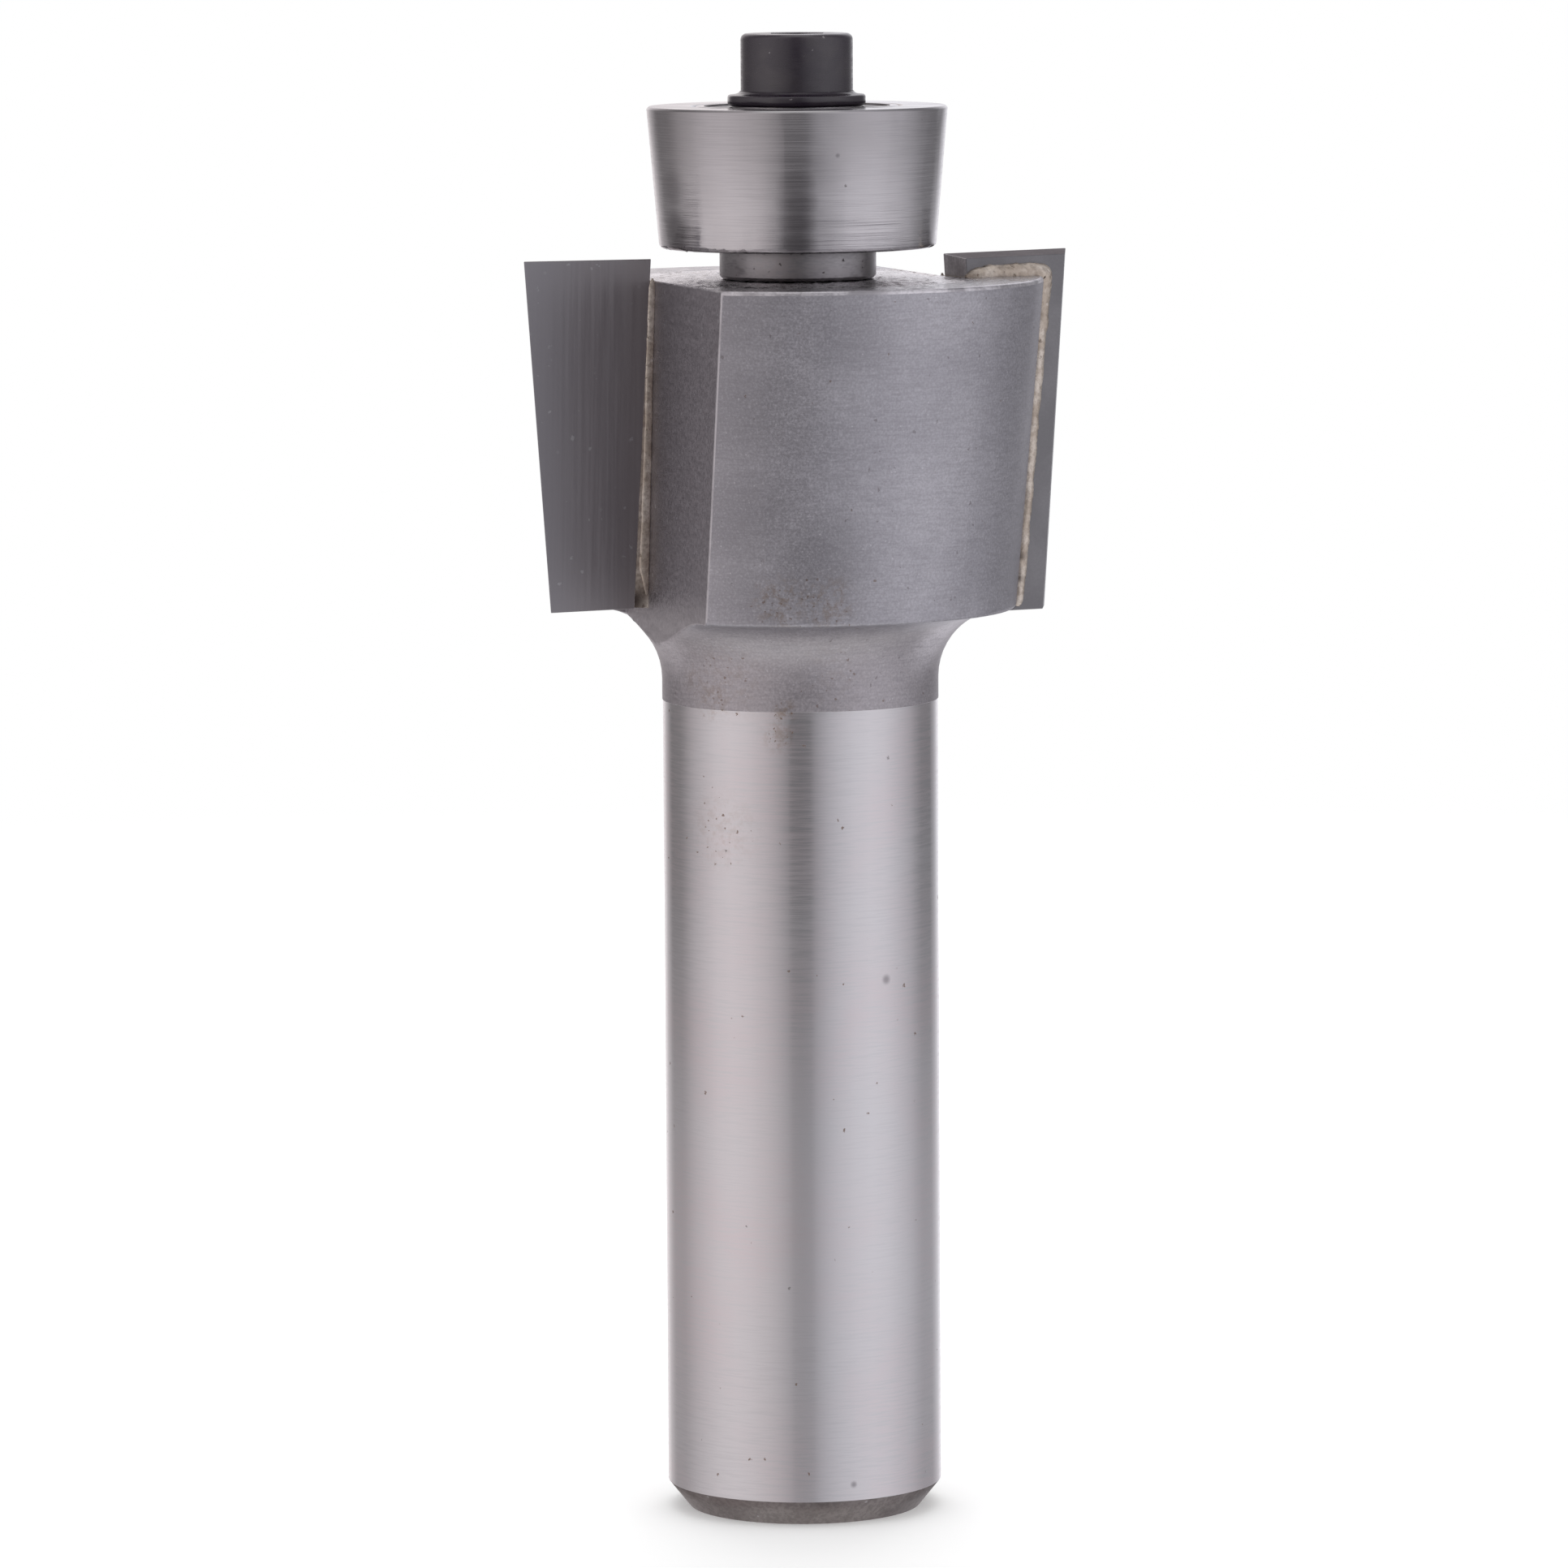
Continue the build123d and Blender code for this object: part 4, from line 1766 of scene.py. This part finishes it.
@dataclass
class Surround:
    """Wall round the object, graded from white to grey, that only reflections see."""

    turn: float
    radius: float = 0.3
    bottom: float = -0.4
    top: float = 1.0
    levels: tuple[Band, ...] = (
        (0, 0.24), (8, 0.27), (10.5, 0.38), (15, 0.47), (22, 0.60), (30, 0.72), (45, 0.88), (60, 0.95),
        (74, 0.90), (90, 0.72), (103, 0.56), (112, 0.41), (120, 0.31), (138, 0.27), (152, 0.60), (164, 1.0),
    )
    low_lift: float = 0.32
    lift_start: float = 0 * MM
    lift_end: float = -40 * MM
    low_dim: float = 0.94
    dim_start: float = -42 * MM
    dim_end: float = -58 * MM
    left_tint: Colour = (1.0, 0.945, 0.958)
    right_tint: Colour = (1.0, 0.985, 1.035)
    tint_band: Band = (-0.6, 0.4)

    def material(self) -> bpy.types.Material:
        """Make the wall's glow.

        Returns:
            The material.
        """
        made = bpy.data.materials.new("graded_wall")
        g = emptied(made)
        x, y, z = g.split(g.node("TexCoord").outputs["Object"])
        ahead, aside = towards(0, 0, self.turn), towards(90, 0, self.turn)
        forwards = g.math("ADD", g.product(x, ahead.x), g.product(y, ahead.y))
        sideways = g.math("ADD", g.product(x, aside.x), g.product(y, aside.y))
        azimuth = g.math("ARCTAN2", sideways, forwards)
        ramp = g.node("ValToRGB")
        g.feed(ramp.inputs[0], g.math("DIVIDE", g.math("ABSOLUTE", azimuth), math.pi))
        stops = ramp.color_ramp.elements
        while len(stops) < len(self.levels):
            stops.new(0.5)
        for stop, (degrees, level) in zip(stops, self.levels):
            stop.position = degrees / 180
            stop.color = (level, level, level, 1)
        low = g.span(z, self.lift_start, self.lift_end, 0.0, self.low_lift)
        tint = g.mix(g.span(azimuth, *self.tint_band), self.left_tint, self.right_tint)
        glow, output = g.node("Emission"), g.node("OutputMaterial")
        level = g.math("ADD", ramp.outputs[0], g.product(low, g.math("SUBTRACT", 1.0, ramp.outputs[0])))
        level = g.product(level, g.span(z, self.dim_start, self.dim_end, 1.0, self.low_dim))
        g.feed(glow.inputs["Color"], tint)
        g.feed(glow.inputs["Strength"], level)
        g.feed(output.inputs["Surface"], glow.outputs[0])
        return made

    def build(self) -> None:
        """Stand the wall round the object."""
        bm = turn_outline([(self.radius, self.bottom), (self.radius, self.top)], closed=False)
        made = stage_object(bm, "graded_wall", self.material())
        made.visible_camera = made.visible_diffuse = made.visible_shadow = made.visible_transmission = False


@dataclass
class Studio:
    """Floor, world, lamps and the camera of the photograph."""

    turn: float = math.radians(-27.0)
    lens: float = 197.2
    sensor: float = 36.0
    clip: Band = (0.01, 20.0)
    camera_distance: float = 394.6 * MM
    camera_height: float = 78.9 * MM
    pitch: float = math.radians(6.534)
    yaw: float = math.radians(-0.113)
    roll: float = math.radians(-0.343)
    floor_radius: float = 1.2
    floor_solid: float = 0.20
    floor_fade: float = 0.28
    floor_albedo: float = 0.9
    floor_glow: float = 0.16
    world_fill: float = 0.80
    lamp_size: float = 0.6
    lamps: tuple[Point, ...] = ((-62.0, 28.0, 0.7), (62.0, 28.0, 0.7), (180.0, 50.0, 2.4))
    lamp_distance: float = 0.8

    def camera(self) -> None:
        """Place the camera as the photograph's was."""
        level_part, down = math.cos(self.pitch), -math.sin(self.pitch)
        forward = Vector((math.sin(self.yaw) * level_part, math.cos(self.yaw) * level_part, down))
        right = Vector((math.cos(self.yaw), -math.sin(self.yaw), 0))
        up = right.cross(forward)
        level = Matrix((right, up, -forward)).transposed()
        tilt = Matrix.Rotation(self.roll, 3, "Z")
        data = bpy.data.cameras.new("photo_camera")
        data.lens, data.sensor_width = self.lens, self.sensor
        data.clip_start, data.clip_end = self.clip
        made = linked("photo_camera", data)
        place = Matrix.Translation((0, -self.camera_distance, self.camera_height)) @ (level @ tilt).to_4x4()
        made.matrix_world = Matrix.Rotation(self.turn, 4, "Z") @ place
        bpy.context.scene.camera = made

    def seen(self, g: Graph) -> Socket:
        """Rays that should find the pale background.

        Args:
            g: The graph that asks.

        Returns:
            Socket that is 1 for camera, glossy and transmission rays.
        """
        path = g.node("LightPath")
        seen = g.math("MAXIMUM", path.outputs["Is Camera Ray"], path.outputs["Is Glossy Ray"])
        return g.math("MAXIMUM", seen, path.outputs["Is Transmission Ray"])

    def world(self) -> None:
        """White behind the object, and a plain fill elsewhere."""
        world = bpy.data.worlds.new("white_room")
        bpy.context.scene.world = world
        g = emptied(world)
        background, output = g.node("Background"), g.node("OutputWorld")
        background.inputs["Color"].default_value = (1, 1, 1, 1)
        g.feed(background.inputs["Strength"], g.math("MAXIMUM", self.seen(g), self.world_fill))
        g.feed(output.inputs["Surface"], background.outputs[0])

    def floor(self) -> None:
        """Pale floor that fades into the white background and keeps the object's shadow."""
        material = bpy.data.materials.new("pale_floor")
        g = emptied(material)
        diffuse = g.node("BsdfDiffuse")
        g.feed(diffuse.inputs["Color"], (self.floor_albedo,) * 3)
        glow = g.node("Emission")
        g.feed(glow.inputs["Strength"], g.product(self.seen(g), self.floor_glow))
        both = g.node("AddShader")
        g.feed(both.inputs[0], diffuse.outputs[0])
        g.feed(both.inputs[1], glow.outputs[0])
        x, y, _ = g.split(g.node("TexCoord").outputs["Object"])
        fade = g.node("MixShader")
        g.feed(fade.inputs[0], g.span(g.length(x, y), self.floor_solid, self.floor_fade))
        g.feed(fade.inputs[1], both.outputs[0])
        g.feed(fade.inputs[2], g.node("BsdfTransparent").outputs[0])
        output = g.node("OutputMaterial")
        g.feed(output.inputs["Surface"], fade.outputs[0])
        bm = bmesh.new()
        bmesh.ops.create_circle(bm, cap_ends=True, segments=ROUND_STEPS, radius=self.floor_radius)
        made = stage_object(bm, "floor", material)
        made.visible_glossy = False

    def lamp(self, number: int, azimuth: float, elevation: float, power: float) -> None:
        """Soft square lamp aimed at the object.

        Args:
            number: The lamp's number.
            azimuth: Degrees from the camera's side.
            elevation: Degrees above the horizon.
            power: Watts.
        """
        data = bpy.data.lights.new(f"softbox_{number}", "AREA")
        data.shape, data.size, data.energy = "SQUARE", self.lamp_size, power
        made = linked(data.name, data)
        back = towards(azimuth, elevation, self.turn)
        made.location = back * self.lamp_distance
        made.rotation_euler = back.to_track_quat("Z", "Y").to_euler()
        made.visible_glossy = False

    def build(self) -> None:
        """Set up the whole studio."""
        self.world()
        self.floor()
        Surround(self.turn).build()
        for number, (azimuth, elevation, power) in enumerate(self.lamps, 1):
            self.lamp(number, azimuth, elevation, power)
        self.camera()
        bpy.context.scene.view_settings.view_transform = "Standard"
        log.info("studio: %d lamps and the wall", len(self.lamps))


def main() -> None:
    """Build the finishes, the pieces and the studio."""
    logging.basicConfig(level=logging.INFO, format="%(name)s: %(message)s")
    materials = all_materials()
    for maker in (CutterBody, CarbideTips, Braze, Washer, SimplePieces):
        maker(materials).build()
    Studio().build()


if __name__ == "__main__":
    main()
